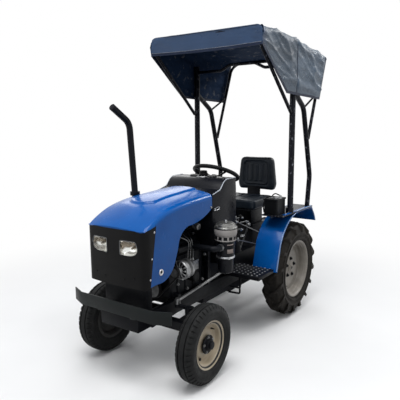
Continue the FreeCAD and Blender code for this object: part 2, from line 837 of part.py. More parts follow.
def rear_rim():
    half = REAR_RIM_W / 2
    bead_half = half - REAR_LIP_W
    centre = rear_wheel_centre()
    face = REAR_DISC_X
    back = face - REAR_DISC_T
    shaft_in = REAR_SHAFT_IN_X - REAR_TRACK_HALF
    hub_back = TRUMPET_END_X + WHEEL_FLANGE_GAP - REAR_TRACK_HALF
    lip_in = REAR_LIP_R - RIM_LIP_T
    seat = REAR_BARREL_R + REAR_BARREL_SKIN
    plate_r = REAR_BOLT_PCD / 2 + 2 * REAR_BOLT_R
    cap_r = REAR_BOLT_PCD / 2 - 2 * REAR_BOLT_R
    cap_tip = face + REAR_HUB_REACH
    section = [
        (0.0, shaft_in),
        (REAR_SHAFT_R, shaft_in),
        (REAR_SHAFT_R, hub_back),
        (REAR_FLANGE_R, hub_back),
        (REAR_FLANGE_R, hub_back + REAR_FLANGE_T),
        (REAR_HUB_R, hub_back + REAR_FLANGE_T),
        (REAR_HUB_R, back),
        (REAR_BARREL_R - REAR_DISH_W, back),
        (REAR_BARREL_R, back - REAR_DISH),
        (REAR_BARREL_R, -bead_half),
        (lip_in, -half),
        (REAR_LIP_R, -half),
        (REAR_LIP_R, RIM_LIP_T - half),
        (seat, -bead_half),
        (seat, bead_half),
        (REAR_LIP_R, half - RIM_LIP_T),
        (REAR_LIP_R, half),
        (lip_in, half),
        (REAR_BARREL_R, bead_half),
        (REAR_BARREL_R, face - REAR_DISH),
        (REAR_BARREL_R - REAR_DISH_W, face),
        (plate_r, face),
        (plate_r, face + HUB_CHAMFER),
        (cap_r, face + HUB_CHAMFER),
        (cap_r - HUB_CHAMFER, cap_tip - HUB_CHAMFER),
        (cap_r - 2 * HUB_CHAMFER, cap_tip),
        (0.0, cap_tip),
    ]
    rim = spun(section, centre, X_AXIS)
    foot = centre + V(face, 0, REAR_BOLT_PCD / 2)
    bolt = rod(REAR_BOLT_R, foot, foot + V(REAR_BOLT_LEN, 0, 0))
    return fused([rim] + turned(bolt, centre, X_AXIS, REAR_BOLTS))


# ================================================================ front axle and steering
def axle_point(x, dy, z):
    return V(x, FRONT_AXLE_Y + dy, z)


def upright(radius, x, dy, z0, z1):
    return rod(radius, axle_point(x, dy, z0), axle_point(x, dy, z1))


def front_axle():
    half = AXLE_BEAM / 2
    beam_top = AXLE_BEAM_Z + half
    beam = box(-KINGPIN_X, KINGPIN_X, FRONT_AXLE_Y - half, FRONT_AXLE_Y + half, AXLE_BEAM_Z - half, beam_top)
    boss = rod(AXLE_BOSS_R, axle_point(0, -AXLE_BOSS_LEN / 2, AXLE_BEAM_Z),
               axle_point(0, AXLE_BOSS_LEN / 2, AXLE_BEAM_Z))
    parts = [beam, boss]
    bores = [rod(AXLE_PIVOT_R + RUNNING_GAP, axle_point(0, -AXLE_BOSS_LEN, AXLE_BEAM_Z),
                 axle_point(0, AXLE_BOSS_LEN, AXLE_BEAM_Z))]
    for side in SIDES.values():
        x = side * KINGPIN_X
        parts.append(upright(SLEEVE_R, x, 0, SLEEVE_LOW_Z, SLEEVE_TOP_Z))
        parts.append(slab_y([(x - side * GUSSET_REACH, beam_top), (x, SLEEVE_TOP_Z - GUSSET_T), (x, beam_top)],
                            FRONT_AXLE_Y - GUSSET_T / 2, FRONT_AXLE_Y + GUSSET_T / 2))
        bores.append(upright(KINGPIN_R + RUNNING_GAP, x, 0, SLEEVE_LOW_Z - EXTRA, SLEEVE_TOP_Z + EXTRA))
    axle = fused(parts)
    for bore in bores:
        axle = axle.cut(bore)
    return axle


def knuckle(side):
    """Kingpin with its bosses, the wheel spindle and the arms that steer it."""
    x = KINGPIN_X
    cap_low = SLEEVE_TOP_Z + SEAT_GAP
    boss_low = FRONT_TYRE_R - KINGPIN_BOSS_DROP
    boss_r = SLEEVE_R - KINGPIN_BOSS_STEP
    tip_x = FRONT_TRACK_HALF + FRONT_DISC_X + SPINDLE_REACH
    collar_x = FRONT_TRACK_HALF + FRONT_HUB_BACK_X - SPINDLE_COLLAR_GAP
    parts = [
        upright(KINGPIN_R, x, 0, boss_low, ARM_TOP_Z + KINGPIN_STUB),
        upright(boss_r, x, 0, boss_low, SLEEVE_LOW_Z - SEAT_GAP),
        upright(boss_r, x, 0, cap_low, ARM_TOP_Z),
        rod(SPINDLE_R, axle_point(x, 0, FRONT_TYRE_R), axle_point(tip_x, 0, FRONT_TYRE_R)),
        rod(SPINDLE_R + SPINDLE_COLLAR, axle_point(x, 0, FRONT_TYRE_R), axle_point(collar_x, 0, FRONT_TYRE_R)),
        box(x - ARM_HALF_W, x + ARM_HALF_W, FRONT_AXLE_Y, FRONT_AXLE_Y + TIE_ARM_LEN,
            TIE_ARM_Z, TIE_ARM_Z + ARM_T),
        upright(EYE_R, x, TIE_ARM_LEN, TIE_ARM_Z, TIE_ARM_Z + ARM_T),
    ]
    if side == "left":
        parts.append(box(DRAG_X, x, FRONT_AXLE_Y - ARM_HALF_W, FRONT_AXLE_Y + ARM_HALF_W, cap_low, ARM_TOP_Z))
        parts.append(upright(EYE_R, DRAG_X, 0, cap_low, ARM_TOP_Z))
    return on_side(fused(parts), side)


def tie_rod():
    rod_z = TIE_ARM_Z + ARM_T + TIE_ROD_RISE
    ends = [axle_point(side * KINGPIN_X, TIE_ARM_LEN, rod_z) for side in SIDES.values()]
    parts = [rod(TIE_ROD_R, *ends)]
    for side in SIDES.values():
        parts.append(upright(BALL_R, side * KINGPIN_X, TIE_ARM_LEN, TIE_ARM_Z + ARM_T + SEAT_GAP,
                             rod_z + BALL_OVER_ROD))
    return fused(parts)


def drag_link():
    front_z = ARM_TOP_Z + DRAG_FRONT_RISE
    bar = rod(DRAG_ROD_R, axle_point(DRAG_X, 0, front_z), V(DRAG_X, PITMAN_Y, PITMAN_LOW_Z))
    front_eye = upright(BALL_R, DRAG_X, 0, ARM_TOP_Z + DRAG_FRONT_GAP, front_z + BALL_OVER_ROD)
    rear_eye = cross_rod(BALL_R, DRAG_X - DRAG_EYE_HALF, DRAG_X + DRAG_EYE_HALF, PITMAN_Y, PITMAN_LOW_Z)
    return fused([bar, front_eye, rear_eye])


def pitman_faces():
    """The pitman arm's inner and outer faces."""
    outer = DRAG_X - DRAG_EYE_HALF - SEAT_GAP
    return outer - PITMAN_T, outer


def pitman_arm():
    inner, outer = pitman_faces()
    return fused([
        cross_rod(PITMAN_SHAFT_R, inner - PITMAN_SHAFT_LEN, inner, PITMAN_Y, PITMAN_TOP_Z),
        box(inner, outer, PITMAN_Y - ARM_HALF_W, PITMAN_Y + ARM_HALF_W, PITMAN_LOW_Z, PITMAN_TOP_Z),
        cross_rod(PITMAN_BOSS_R, inner, outer, PITMAN_Y, PITMAN_TOP_Z),
        cross_rod(EYE_R, inner, outer, PITMAN_Y, PITMAN_LOW_Z),
    ])


def wheel_axis():
    tilt = math.radians(WHEEL_TILT)
    return V(0, math.sin(tilt), math.cos(tilt))


def column_point(drop):
    return V(0, WHEEL_Y, WHEEL_Z) - wheel_axis() * drop


def steering_column():
    """Steering box on the clutch housing, and the jacket tube up to the wheel's hub."""
    arm_face = pitman_faces()[0]
    side_face = arm_face - STEER_BOX_GAP
    gearbox = box(-STEER_BOX_HALF_W, side_face, PITMAN_Y - STEER_BOX_HALF_LEN, PITMAN_Y + STEER_BOX_HALF_LEN,
                  BELL_TOP_Z, PITMAN_TOP_Z + STEER_BOX_RISE)
    bore = cross_rod(PITMAN_SHAFT_R + RUNNING_GAP, arm_face - PITMAN_SHAFT_LEN - STEER_BOX_GAP, arm_face,
                     PITMAN_Y, PITMAN_TOP_Z)
    collar_top = HUB_DROP + SEAT_GAP
    tube = rod(COLUMN_R, column_point(COLUMN_LEN), column_point(collar_top))
    collar = rod(COLUMN_COLLAR_R, column_point(collar_top + COLUMN_COLLAR_LEN), column_point(collar_top))
    return fused([gearbox.cut(bore), tube, collar])


def steering_wheel():
    axis = wheel_axis()
    centre = column_point(0)
    spoke_root = column_point((HUB_DROP + HUB_TOP_DROP) / 2)
    parts = [
        Part.makeTorus(WHEEL_RING_R, WHEEL_TUBE_R, centre, axis),
        rod(HUB_R, column_point(HUB_DROP), column_point(HUB_TOP_DROP)),
    ]
    front = axis.cross(X_AXIS)
    spoke = rod(SPOKE_R, spoke_root, centre + front * WHEEL_RING_R)
    return fused(parts + turned(spoke, centre, axis, WHEEL_SPOKES))


# ================================================================ frame, bumper, radiator
def frame_rail(side):
    """A channel open towards the middle."""
    rail = side_box(side, RAIL_IN_X, RAIL_OUT_X, RAIL_FRONT_Y, RAIL_REAR_Y, RAIL_LOW_Z, RAIL_TOP_Z)
    hollow = side_box(side, RAIL_IN_X - EXTRA, RAIL_OUT_X - RAIL_WALL,
                      RAIL_FRONT_Y - EXTRA, RAIL_REAR_Y + EXTRA,
                      RAIL_LOW_Z + RAIL_WALL, RAIL_TOP_Z - RAIL_WALL)
    return rail.cut(hollow)


def frame_rails():
    parts = [frame_rail(side) for side in SIDES.values()]
    parts.append(box(-RAIL_OUT_X, RAIL_OUT_X, RAIL_FRONT_Y - CROSS_T, RAIL_FRONT_Y, RAIL_LOW_Z, RAIL_TOP_Z))
    ear_low = AXLE_BEAM_Z - EAR_DROP
    ear_y = AXLE_BOSS_LEN / 2 + EAR_GAP
    for way in SIDES.values():
        near = min(way * ear_y, way * (ear_y + EAR_T)) + FRONT_AXLE_Y
        parts.append(slab_y([(-RAIL_OUT_X, RAIL_LOW_Z), (-EAR_HALF_W, ear_low), (EAR_HALF_W, ear_low),
                             (RAIL_OUT_X, RAIL_LOW_Z)], near, near + EAR_T))
        parts.append(box(-RAIL_OUT_X + RAIL_WALL, RAIL_OUT_X - RAIL_WALL, near, near + EAR_T,
                         RAIL_LOW_Z, RAIL_LOW_Z + EAR_WEB_H))
    reach = ear_y + EAR_T
    parts.append(rod(AXLE_PIVOT_R, axle_point(0, -reach, AXLE_BEAM_Z), axle_point(0, reach, AXLE_BEAM_Z)))
    return fused(parts)


def front_bumper():
    front = BUMPER_FRONT_Y
    tip = front + BUMPER_SWEEP
    back = front + BUMPER_T
    plan = [
        (-BUMPER_HALF_W, tip),
        (-BUMPER_FLAT_HALF, front),
        (BUMPER_FLAT_HALF, front),
        (BUMPER_HALF_W, tip),
        (BUMPER_HALF_W, tip + BUMPER_T),
        (BUMPER_FLAT_HALF, back),
        (-BUMPER_FLAT_HALF, back),
        (-BUMPER_HALF_W, tip + BUMPER_T),
    ]
    parts = [slab_z(plan, BUMPER_LOW_Z, BUMPER_TOP_Z)]
    foot_rear = RAIL_FRONT_Y + BUMPER_FOOT_LEN
    foot_top = RAIL_TOP_Z + BUMPER_FOOT_T
    web_x = (RAIL_IN_X + RAIL_OUT_X) / 2
    for side in SIDES.values():
        parts.append(side_box(side, RAIL_IN_X, RAIL_OUT_X, back, foot_rear, RAIL_TOP_Z, foot_top))
        parts.append(slab_x([(back, foot_top), (back, BUMPER_TOP_Z - BUMPER_FOOT_T), (foot_rear, foot_top)],
                            side * web_x - BUMPER_WEB_T / 2, side * web_x + BUMPER_WEB_T / 2))
    return fused(parts)


def radiator():
    """Core between two tanks, with a filler neck, on a foot across the rails."""
    rear = RADIATOR_FRONT_Y + RADIATOR_T
    middle = RADIATOR_FRONT_Y + RADIATOR_T / 2
    foot_top = RAIL_TOP_Z + RADIATOR_FOOT_T
    tank_top = RADIATOR_TOP_Z + TANK_H
    tank_half = RADIATOR_HALF_W - RADIATOR_FOOT_T
    parts = [
        box(-RADIATOR_HALF_W, RADIATOR_HALF_W, RADIATOR_FRONT_Y, rear, foot_top, RADIATOR_TOP_Z),
        rounded(box(-tank_half, tank_half, RADIATOR_FRONT_Y, rear, RADIATOR_TOP_Z, tank_top), TANK_ROUND_R,
                lambda edge: runs_along(Y_AXIS)(edge) and edge.BoundBox.ZMin > RADIATOR_TOP_Z),
        rod(NECK_R, V(0, middle, tank_top), V(0, middle, tank_top + NECK_R)),
        box(-RAIL_OUT_X, RAIL_OUT_X, RADIATOR_FRONT_Y, rear, RAIL_TOP_Z, foot_top),
    ]
    return fused(parts)


# ================================================================ engine
def engine_block():
    """Ribbed crankcase on its sump, with the flywheel housing and four mounting feet."""
    w = ENGINE_HALF_W
    parts = [
        box(-w, w, ENGINE_FRONT_Y, ENGINE_REAR_Y, BLOCK_LOW_Z, BLOCK_TOP_Z),
        slab_x([(ENGINE_FRONT_Y + SUMP_INSET, BLOCK_LOW_Z), (ENGINE_FRONT_Y + 2 * SUMP_INSET, SUMP_LOW_Z),
                (ENGINE_REAR_Y - SUMP_INSET, SUMP_LOW_Z), (ENGINE_REAR_Y - SUMP_INSET, BLOCK_LOW_Z)],
               SUMP_INSET - w, w - SUMP_INSET),
        box(-w, w, ENGINE_REAR_Y, ENGINE_REAR_Y + BELL_FRONT_LEN, BLOCK_LOW_Z, BLOCK_TOP_Z - BELL_FRONT_LEN),
    ]
    rib_pitch = (ENGINE_REAR_Y - ENGINE_FRONT_Y - RIB_T) / (BLOCK_RIBS - 1)
    for index in range(BLOCK_RIBS):
        y = ENGINE_FRONT_Y + rib_pitch * index
        parts.append(box(-w - RIB_DEPTH, w + RIB_DEPTH, y, y + RIB_T, BLOCK_LOW_Z + RIB_T, BLOCK_TOP_Z - RIB_T))
    for y in (ENGINE_FRONT_Y + ENGINE_FOOT_LEN, ENGINE_REAR_Y - 2 * ENGINE_FOOT_LEN):
        parts.append(box(-RAIL_OUT_X, RAIL_OUT_X, y, y + ENGINE_FOOT_LEN,
                         RAIL_TOP_Z, RAIL_TOP_Z + ENGINE_FOOT_H))
    return fused(parts)


def cylinder_head():
    """Head with a rounded rocker cover and the oil filler on top."""
    y0 = ENGINE_FRONT_Y + HEAD_INSET
    y1 = ENGINE_REAR_Y - HEAD_INSET
    low = BLOCK_TOP_Z + SEAT_GAP
    head = box(-HEAD_HALF_W, HEAD_HALF_W, y0, y1, low, HEAD_TOP_Z)
    cover = box(-COVER_HALF_W, COVER_HALF_W, y0 + HEAD_INSET, y1 - HEAD_INSET, HEAD_TOP_Z, COVER_TOP_Z - CAP_H)
    cover = rounded(cover, COVER_ROUND_R, lambda edge: edge.BoundBox.ZMin > HEAD_TOP_Z + COVER_ROUND_R)
    lip = box(-COVER_HALF_W - RIB_DEPTH, COVER_HALF_W + RIB_DEPTH, y0 + HEAD_INSET - RIB_DEPTH,
              y1 - HEAD_INSET + RIB_DEPTH, HEAD_TOP_Z, HEAD_TOP_Z + RIB_T)
    cap_y = y1 - 3 * HEAD_INSET
    cap = rod(CAP_R, V(0, cap_y, COVER_TOP_Z - 2 * CAP_H), V(0, cap_y, COVER_TOP_Z))
    return fused([head, cover, lip, cap])


def intake_pipe():
    """Inlet log along the head with one flanged runner to each cylinder, and the hose to the air cleaner."""
    face = HEAD_HALF_W + SEAT_GAP
    log_x = face + RUNNER_LEN
    z = INTAKE_Z
    parts = []
    for y in cylinder_places():
        parts.append(cross_rod(RUNNER_R, face, log_x, y, z))
        parts.append(port_flange(face, face + FLANGE_T, y, z))
    parts.append(port_log(HOSE_R, log_x, z))
    hose_y = CLEANER_NECK_Y - HOSE_REACH
    route = [V(log_x, hose_y, z), V(CLEANER_X, hose_y, z), V(CLEANER_X, CLEANER_NECK_Y - SEAT_GAP, z)]
    parts.append(bent_rod(route, [HOSE_BEND_R], HOSE_R))
    return fused(parts)


def port_log(radius, x, z):
    """The round log that joins the runners of one side of the head."""
    first = ENGINE_FRONT_Y + cylinder_pitch()
    last = ENGINE_REAR_Y - cylinder_pitch()
    return rod(radius, V(x, first - 2 * RUNNER_R, z), V(x, last + 2 * RUNNER_R, z))


def port_flange(x0, x1, y, z):
    half = RUNNER_R + RIB_T
    return box(x0, x1, y - half, y + half, z - half, z + half)


def cylinder_places():
    return [ENGINE_FRONT_Y + cylinder_pitch() * (index + 1) for index in range(CYLINDERS)]


def cylinder_pitch():
    return (ENGINE_REAR_Y - ENGINE_FRONT_Y) / (CYLINDERS + 1)


def exhaust_stack():
    """Manifold on the head's right side, and the pipe that rises beside the hood."""
    x = EXHAUST_X
    face = -HEAD_HALF_W - SEAT_GAP
    log_x = face - RUNNER_LEN
    z = EXHAUST_PORT_Z
    parts = [port_log(MANIFOLD_R, log_x, z)]
    for y in cylinder_places():
        parts.append(cross_rod(RUNNER_R, log_x, face, y, z))
        parts.append(port_flange(face - FLANGE_T, face, y, z))
    flange_y = EXHAUST_Y - EXHAUST_LEAN
    points = [
        V(log_x, EXHAUST_Y, z),
        V(x, EXHAUST_Y, z),
        V(x, flange_y, EXHAUST_FLANGE_Z),
        V(x, EXHAUST_Y - EXHAUST_TOP_LEAN, EXHAUST_BEND_Z),
        V(x, EXHAUST_Y - EXHAUST_TOP_LEAN - EXHAUST_TIP_LEN, EXHAUST_TOP_Z),
    ]
    parts.append(bent_rod(points, EXHAUST_BENDS, EXHAUST_R))
    collar = V(x, flange_y, EXHAUST_FLANGE_Z)
    parts.append(rod(EXHAUST_FLANGE_R, collar, collar + V(0, 0, EXHAUST_FLANGE_H)))
    return fused(parts)


def alternator():
    """Barrel with a vented front cover, a waist between its halves and a foot on the block."""
    centre = V(ALTERNATOR_X, ALTERNATOR_FRONT_Y, ALTERNATOR_Z)
    length = ALTERNATOR_REAR_Y - ALTERNATOR_FRONT_Y
    waist = length / 2
    nose_r = ALTERNATOR_R - ALTERNATOR_NOSE
    section = [
        (0.0, 0.0),
        (nose_r, 0.0),
        (ALTERNATOR_R, ALTERNATOR_NOSE),
        (ALTERNATOR_R, waist - ALTERNATOR_WAIST_W),
        (ALTERNATOR_R - ALTERNATOR_WAIST_D, waist - ALTERNATOR_WAIST_W),
        (ALTERNATOR_R - ALTERNATOR_WAIST_D, waist),
        (ALTERNATOR_R, waist),
        (ALTERNATOR_R, length - ALTERNATOR_NOSE),
        (nose_r, length),
        (0.0, length),
    ]
    body = spun(section, centre, Y_AXIS)
    vent_r = (nose_r + ALTERNATOR_SHAFT_R) / 2
    vent_at = centre + V(0, 0, vent_r)
    vent = rod(ALTERNATOR_VENT_R, vent_at - V(0, EXTRA, 0), vent_at + V(0, ALTERNATOR_NOSE, 0))
    for hole in turned(vent, centre, Y_AXIS, ALTERNATOR_VENTS):
        body = body.cut(hole)
    shaft = rod(ALTERNATOR_SHAFT_R, V(ALTERNATOR_X, PULLEY_FRONT_Y, ALTERNATOR_Z), centre)
    foot_y = centre.y + waist - ALTERNATOR_FOOT_LEN / 2
    foot = box(ENGINE_HALF_W + RIB_DEPTH + SEAT_GAP, ALTERNATOR_X, foot_y, foot_y + ALTERNATOR_FOOT_LEN,
               ALTERNATOR_Z - ALTERNATOR_FOOT_H / 2, ALTERNATOR_Z + ALTERNATOR_FOOT_H / 2)
    return fused([body, shaft, foot])


def belt_loop(front, crank, gen, grow):
    """The flat shape inside a belt round the two pulleys, grown by some distance."""
    run = gen - crank
    lean = math.acos((CRANK_PULLEY_R - ALTERNATOR_PULLEY_R) / run.Length)
    angle = math.atan2(run.z, run.x)
    ends = []
    for turn in (angle + lean, angle - lean):
        out = V(math.cos(turn), 0, math.sin(turn))
        ends.append((crank + out * (CRANK_PULLEY_R + grow), gen + out * (ALTERNATOR_PULLEY_R + grow)))
    ahead = run.normalize()
    far = gen + ahead * (ALTERNATOR_PULLEY_R + grow)
    near = crank - ahead * (CRANK_PULLEY_R + grow)
    runs = [ends[0][0], ends[0][1], (far, ends[1][1]), ends[1][0], (near, ends[0][0])]
    flat = [tuple((p.x, p.z) for p in run) if isinstance(run, tuple) else (run.x, run.z) for run in runs]
    return slab_y(flat, front, front + BELT_W)


def belt_drive():
    front = PULLEY_FRONT_Y
    rear = front + PULLEY_W
    crank = V(0, front, CRANK_Z)
    gen = V(ALTERNATOR_X, front, ALTERNATOR_Z)
    width = V(0, PULLEY_W, 0)
    belt_front = front + (PULLEY_W - BELT_W) / 2
    belt = belt_loop(belt_front, crank, gen, BELT_PROUD)
    belt = belt.cut(belt_loop(belt_front, crank, gen, BELT_PROUD - BELT_T))
    whole = fused([
        belt,
        rod(CRANK_PULLEY_R, crank, crank + width),
        rod(CRANK_SHAFT_R, crank, V(0, ENGINE_FRONT_Y - SEAT_GAP, CRANK_Z)),
        rod(ALTERNATOR_PULLEY_R, gen, gen + width),
    ])
    return whole.cut(rod(ALTERNATOR_SHAFT_R, gen - Y_AXIS * EXTRA, V(gen.x, rear + EXTRA, gen.z)))


def cooling_fan():
    """Slanted blades on a hub, on the water pump's shaft."""
    hub = V(0, FAN_Y, FAN_Z)
    parts = [
        rod(FAN_HUB_R, hub, hub + V(0, FAN_BLADE_DEPTH, 0)),
        rod(FAN_SHAFT_R, hub, V(0, ENGINE_FRONT_Y - SEAT_GAP, FAN_Z)),
    ]
    blade = box(-FAN_BLADE_W / 2, FAN_BLADE_W / 2, FAN_Y, FAN_Y + FAN_BLADE_T, FAN_Z, FAN_Z + FAN_R)
    blade.rotate(hub, Z_AXIS, FAN_BLADE_PITCH)
    blade.translate(V(0, FAN_BLADE_DEPTH / 2, 0))
    return fused(parts + turned(blade, hub, Y_AXIS, FAN_BLADES))


def injection_pump():
    """Fuel pump on the block's left side: its body, and one outlet for each cylinder."""
    face = ENGINE_HALF_W + RIB_DEPTH + SEAT_GAP
    y0 = PUMP_Y - PUMP_HALF_LEN
    y1 = PUMP_Y + PUMP_HALF_LEN
    z1 = PUMP_Z + PUMP_H / 2
    parts = [box(face, face + PUMP_W, y0, y1, PUMP_Z - PUMP_H / 2, z1)]
    x = face + PUMP_W / 2
    for index in range(CYLINDERS):
        y = y0 + (y1 - y0) * (index + 1) / (CYLINDERS + 1)
        parts.append(rod(PUMP_OUTLET_R, V(x, y, z1), V(x, y, z1 + PUMP_OUTLET_H)))
    return fused(parts)


def oil_filter():
    """Screw-on canister standing out from the block, with a rounded end."""
    face = ENGINE_HALF_W + SEAT_GAP
    centre = V(face, OIL_FILTER_Y, OIL_FILTER_Z)
    end = OIL_FILTER_LEN
    bend = OIL_FILTER_ROUND
    chord = bend * (1 - math.sqrt(0.5))
    section = [
        (0.0, 0.0),
        (OIL_FILTER_R - bend, 0.0),
        (OIL_FILTER_R, bend),
        (OIL_FILTER_R, end - bend),
        ((OIL_FILTER_R - chord, end - chord), (OIL_FILTER_R - bend, end)),
        (0.0, end),
    ]
    return spun(section, centre, X_AXIS)


def starter_motor():
    """Motor and its solenoid on the right side, bolted to the flywheel housing."""
    x = -ENGINE_HALF_W - RIB_DEPTH - STARTER_R - SEAT_GAP
    rear = ENGINE_REAR_Y + BELL_FRONT_LEN - SEAT_GAP
    motor = rod(STARTER_R, V(x, rear - STARTER_LEN, STARTER_Z), V(x, rear, STARTER_Z))
    solenoid_z = STARTER_Z + STARTER_R + SOLENOID_R - SOLENOID_SINK
    solenoid = rod(SOLENOID_R, V(x, rear - STARTER_LEN / 2, solenoid_z), V(x, rear, solenoid_z))
    flange = box(x - STARTER_R, -ENGINE_HALF_W - SEAT_GAP, rear - FLANGE_T, rear,
                 STARTER_Z - STARTER_R / 2, solenoid_z)
    return fused([motor, solenoid, flange])


def air_cleaner():
    """Bowl, body and stepped head turned on one axis, with its strap and outlet neck."""
    centre = V(CLEANER_X, CLEANER_Y, 0)
    r = CLEANER_R
    head_r = CLEANER_HEAD_R
    cap_top = CLEANER_TOP_Z - CLEANER_KNOB_H
    section = [
        (0.0, CLEANER_LOW_Z),
        (r - CLEANER_STEP, CLEANER_LOW_Z),
        (r, CLEANER_LOW_Z + CLEANER_STEP),
        (r, CLEANER_CLAMP_Z),
        (r + CLEANER_BAND_T, CLEANER_CLAMP_Z),
        (r + CLEANER_BAND_T, CLEANER_CLAMP_Z + CLEANER_BAND_W),
        (r, CLEANER_CLAMP_Z + CLEANER_BAND_W),
        (r, CLEANER_HEAD_Z),
        (r + CLEANER_STEP, CLEANER_HEAD_Z),
        (r + CLEANER_STEP, CLEANER_HEAD_Z + CLEANER_RIM_H),
        (head_r, CLEANER_HEAD_Z + CLEANER_RIM_H + CLEANER_STEP),
        (head_r, cap_top - CLEANER_RIM_H - CLEANER_STEP),
        (r + CLEANER_BAND_T, cap_top - CLEANER_RIM_H),
        (r + CLEANER_BAND_T, cap_top - CLEANER_STEP),
        (r / 2, cap_top),
        (CLEANER_KNOB_R, cap_top),
        (CLEANER_KNOB_R, CLEANER_TOP_Z),
        (0.0, CLEANER_TOP_Z),
    ]
    body = spun(section, centre, Z_AXIS)
    strap_y = CLEANER_Y + CLEANER_STRAP_DY
    strap = box(CONSOLE_HALF_W, CLEANER_X, strap_y, strap_y + CLEANER_STRAP_T,
                CLEANER_STRAP_Z, CLEANER_STRAP_Z + CLEANER_STRAP_H)
    neck_end = V(CLEANER_X, CLEANER_NECK_Y, INTAKE_Z)
    neck = rod(HOSE_R + CLEANER_BAND_T, neck_end, V(CLEANER_X, CLEANER_Y, INTAKE_Z))
    return fused([body, strap, neck])


# ================================================================ driveline
def transmission_case():
    """Clutch housing, gearbox, axle housing with its trumpets, and the lift housing on top."""
    w = CASE_HALF_W
    axle_z = REAR_TYRE_R
    lift_half = w - LIFT_INSET
    pin_x = LINK_X + LINK_EYE_HALF + LINK_PIN_SPARE
    flange_x = TRUMPET_END_X - TRUMPET_FLANGE_T
    case = fused([
        box(-w, w, ENGINE_REAR_Y + BELL_FRONT_LEN, GEARBOX_FRONT_Y, BELL_LOW_Z, BELL_TOP_Z),
        box(-w, w, GEARBOX_FRONT_Y, FINAL_FRONT_Y, CASE_LOW_Z + GEARBOX_RISE, CASE_TOP_Z),
        box(-w, w, FINAL_FRONT_Y, CASE_REAR_Y, CASE_LOW_Z, CASE_TOP_Z),
        slab_x([(LIFT_FRONT_Y, CASE_TOP_Z), (LIFT_FRONT_Y + LIFT_INSET, LIFT_TOP_Z),
                (CASE_REAR_Y, LIFT_TOP_Z), (CASE_REAR_Y, CASE_TOP_Z)], -lift_half, lift_half),
        cross_rod(TRUMPET_R, -TRUMPET_END_X, TRUMPET_END_X, REAR_AXLE_Y, axle_z),
        cross_rod(TRUMPET_FLANGE_R, -TRUMPET_END_X, -flange_x, REAR_AXLE_Y, axle_z),
        cross_rod(TRUMPET_FLANGE_R, flange_x, TRUMPET_END_X, REAR_AXLE_Y, axle_z),
        cross_rod(LINK_PIN_R, -pin_x, pin_x, LINK_PIVOT_Y, LINK_PIVOT_Z),
    ])
    far = TRUMPET_END_X + EXTRA
    axle_bore = cross_rod(REAR_SHAFT_R + RUNNING_GAP, -far, far, REAR_AXLE_Y, axle_z)
    lift_bore = cross_rod(LIFT_SHAFT_R + RUNNING_GAP, -w, w, LINK_PIVOT_Y, LIFT_ARM_Z)
    return case.cut(axle_bore).cut(lift_bore)


def pto_shaft():
    return rod(PTO_R, V(0, CASE_REAR_Y, PTO_Z), V(0, CASE_REAR_Y + PTO_LEN, PTO_Z))


def hitch_frame():
    """Drawbar on its plate, and the forked top link bracket above it."""
    y = CASE_REAR_Y
    bar_top = DRAW_LOW_Z + DRAW_T
    hole_y = y + DRAW_HOLE_REACH
    drawbar = fused([
        box(-HITCH_PLATE_HALF, HITCH_PLATE_HALF, y, y + HITCH_PLATE_T, DRAW_LOW_Z, HITCH_PLATE_TOP_Z),
        box(-DRAW_HALF_W, DRAW_HALF_W, y, y + DRAW_LEN, DRAW_LOW_Z, bar_top),
    ])
    drawbar = drawbar.cut(rod(DRAW_HOLE_R, V(0, hole_y, DRAW_LOW_Z - EXTRA), V(0, hole_y, bar_top + EXTRA)))
    pin_y = y + TOP_LINK_REACH
    end_y = pin_y + TOP_LINK_MARGIN
    bracket_top = TOP_LINK_Z + TOP_LINK_MARGIN
    bracket_low = TOP_LINK_Z - TOP_LINK_ROOT_H
    bracket = slab_x([
        (y, bracket_low),
        (pin_y, TOP_LINK_Z - TOP_LINK_MARGIN),
        ((end_y, TOP_LINK_Z), (pin_y, bracket_top)),
        (y, bracket_top),
    ], -TOP_LINK_HALF_W, TOP_LINK_HALF_W)
    slot = box(-TOP_LINK_GAP_HALF, TOP_LINK_GAP_HALF, y + HITCH_PLATE_T, end_y + EXTRA, bracket_low - EXTRA,
               bracket_top + EXTRA)
    pin_hole = cross_rod(TOP_LINK_R, -TOP_LINK_HALF_W - EXTRA, TOP_LINK_HALF_W + EXTRA, pin_y, TOP_LINK_Z)
    return Part.makeCompound([drawbar, bracket.cut(slot).cut(pin_hole)])


# ================================================================ rear linkage
def link_eye_y():
    return LINK_END_Y - LINK_EYE_OUT_R


def link_slope():
    return math.atan2(-LINK_DROP, link_eye_y() - LINK_PIVOT_Y)


def tapered_bar(x0, x1, start, end, half_start, half_end):
    """A flat bar between two (y, z) points, narrowing from one to the other."""
    return slab_x([
        (start[0], start[1] - half_start),
        (end[0], end[1] - half_end),
        (end[0], end[1] + half_end),
        (start[0], start[1] + half_start),
    ], x0, x1)


def lower_link(side):
    x = side * LINK_X
    near = x - LINK_EYE_HALF
    far = x + LINK_EYE_HALF
    pivot = (LINK_PIVOT_Y, LINK_PIVOT_Z)
    eye = (link_eye_y(), LINK_PIVOT_Z - LINK_DROP)
    link = fused([
        tapered_bar(x - LINK_T / 2, x + LINK_T / 2, pivot, eye, LINK_BAR_FRONT_HALF, LINK_BAR_REAR_HALF),
        cross_rod(LINK_EYE_OUT_R, near, far, *eye),
        cross_rod(LINK_FRONT_R, near, far, *pivot),
    ])
    link = link.cut(cross_rod(LINK_EYE_R, near, far, *eye))
    return link.cut(cross_rod(LINK_PIN_R + RUNNING_GAP, near, far, *pivot))


def lower_links():
    return Part.makeCompound([lower_link(side) for side in SIDES.values()])


def lift_tip(pivot_z):
    """The (y, z) point on an arm or link that the lift rod holds."""
    slope = link_slope()
    return LINK_PIVOT_Y + LIFT_ARM_LEN * math.cos(slope), pivot_z + LIFT_ARM_LEN * math.sin(slope)


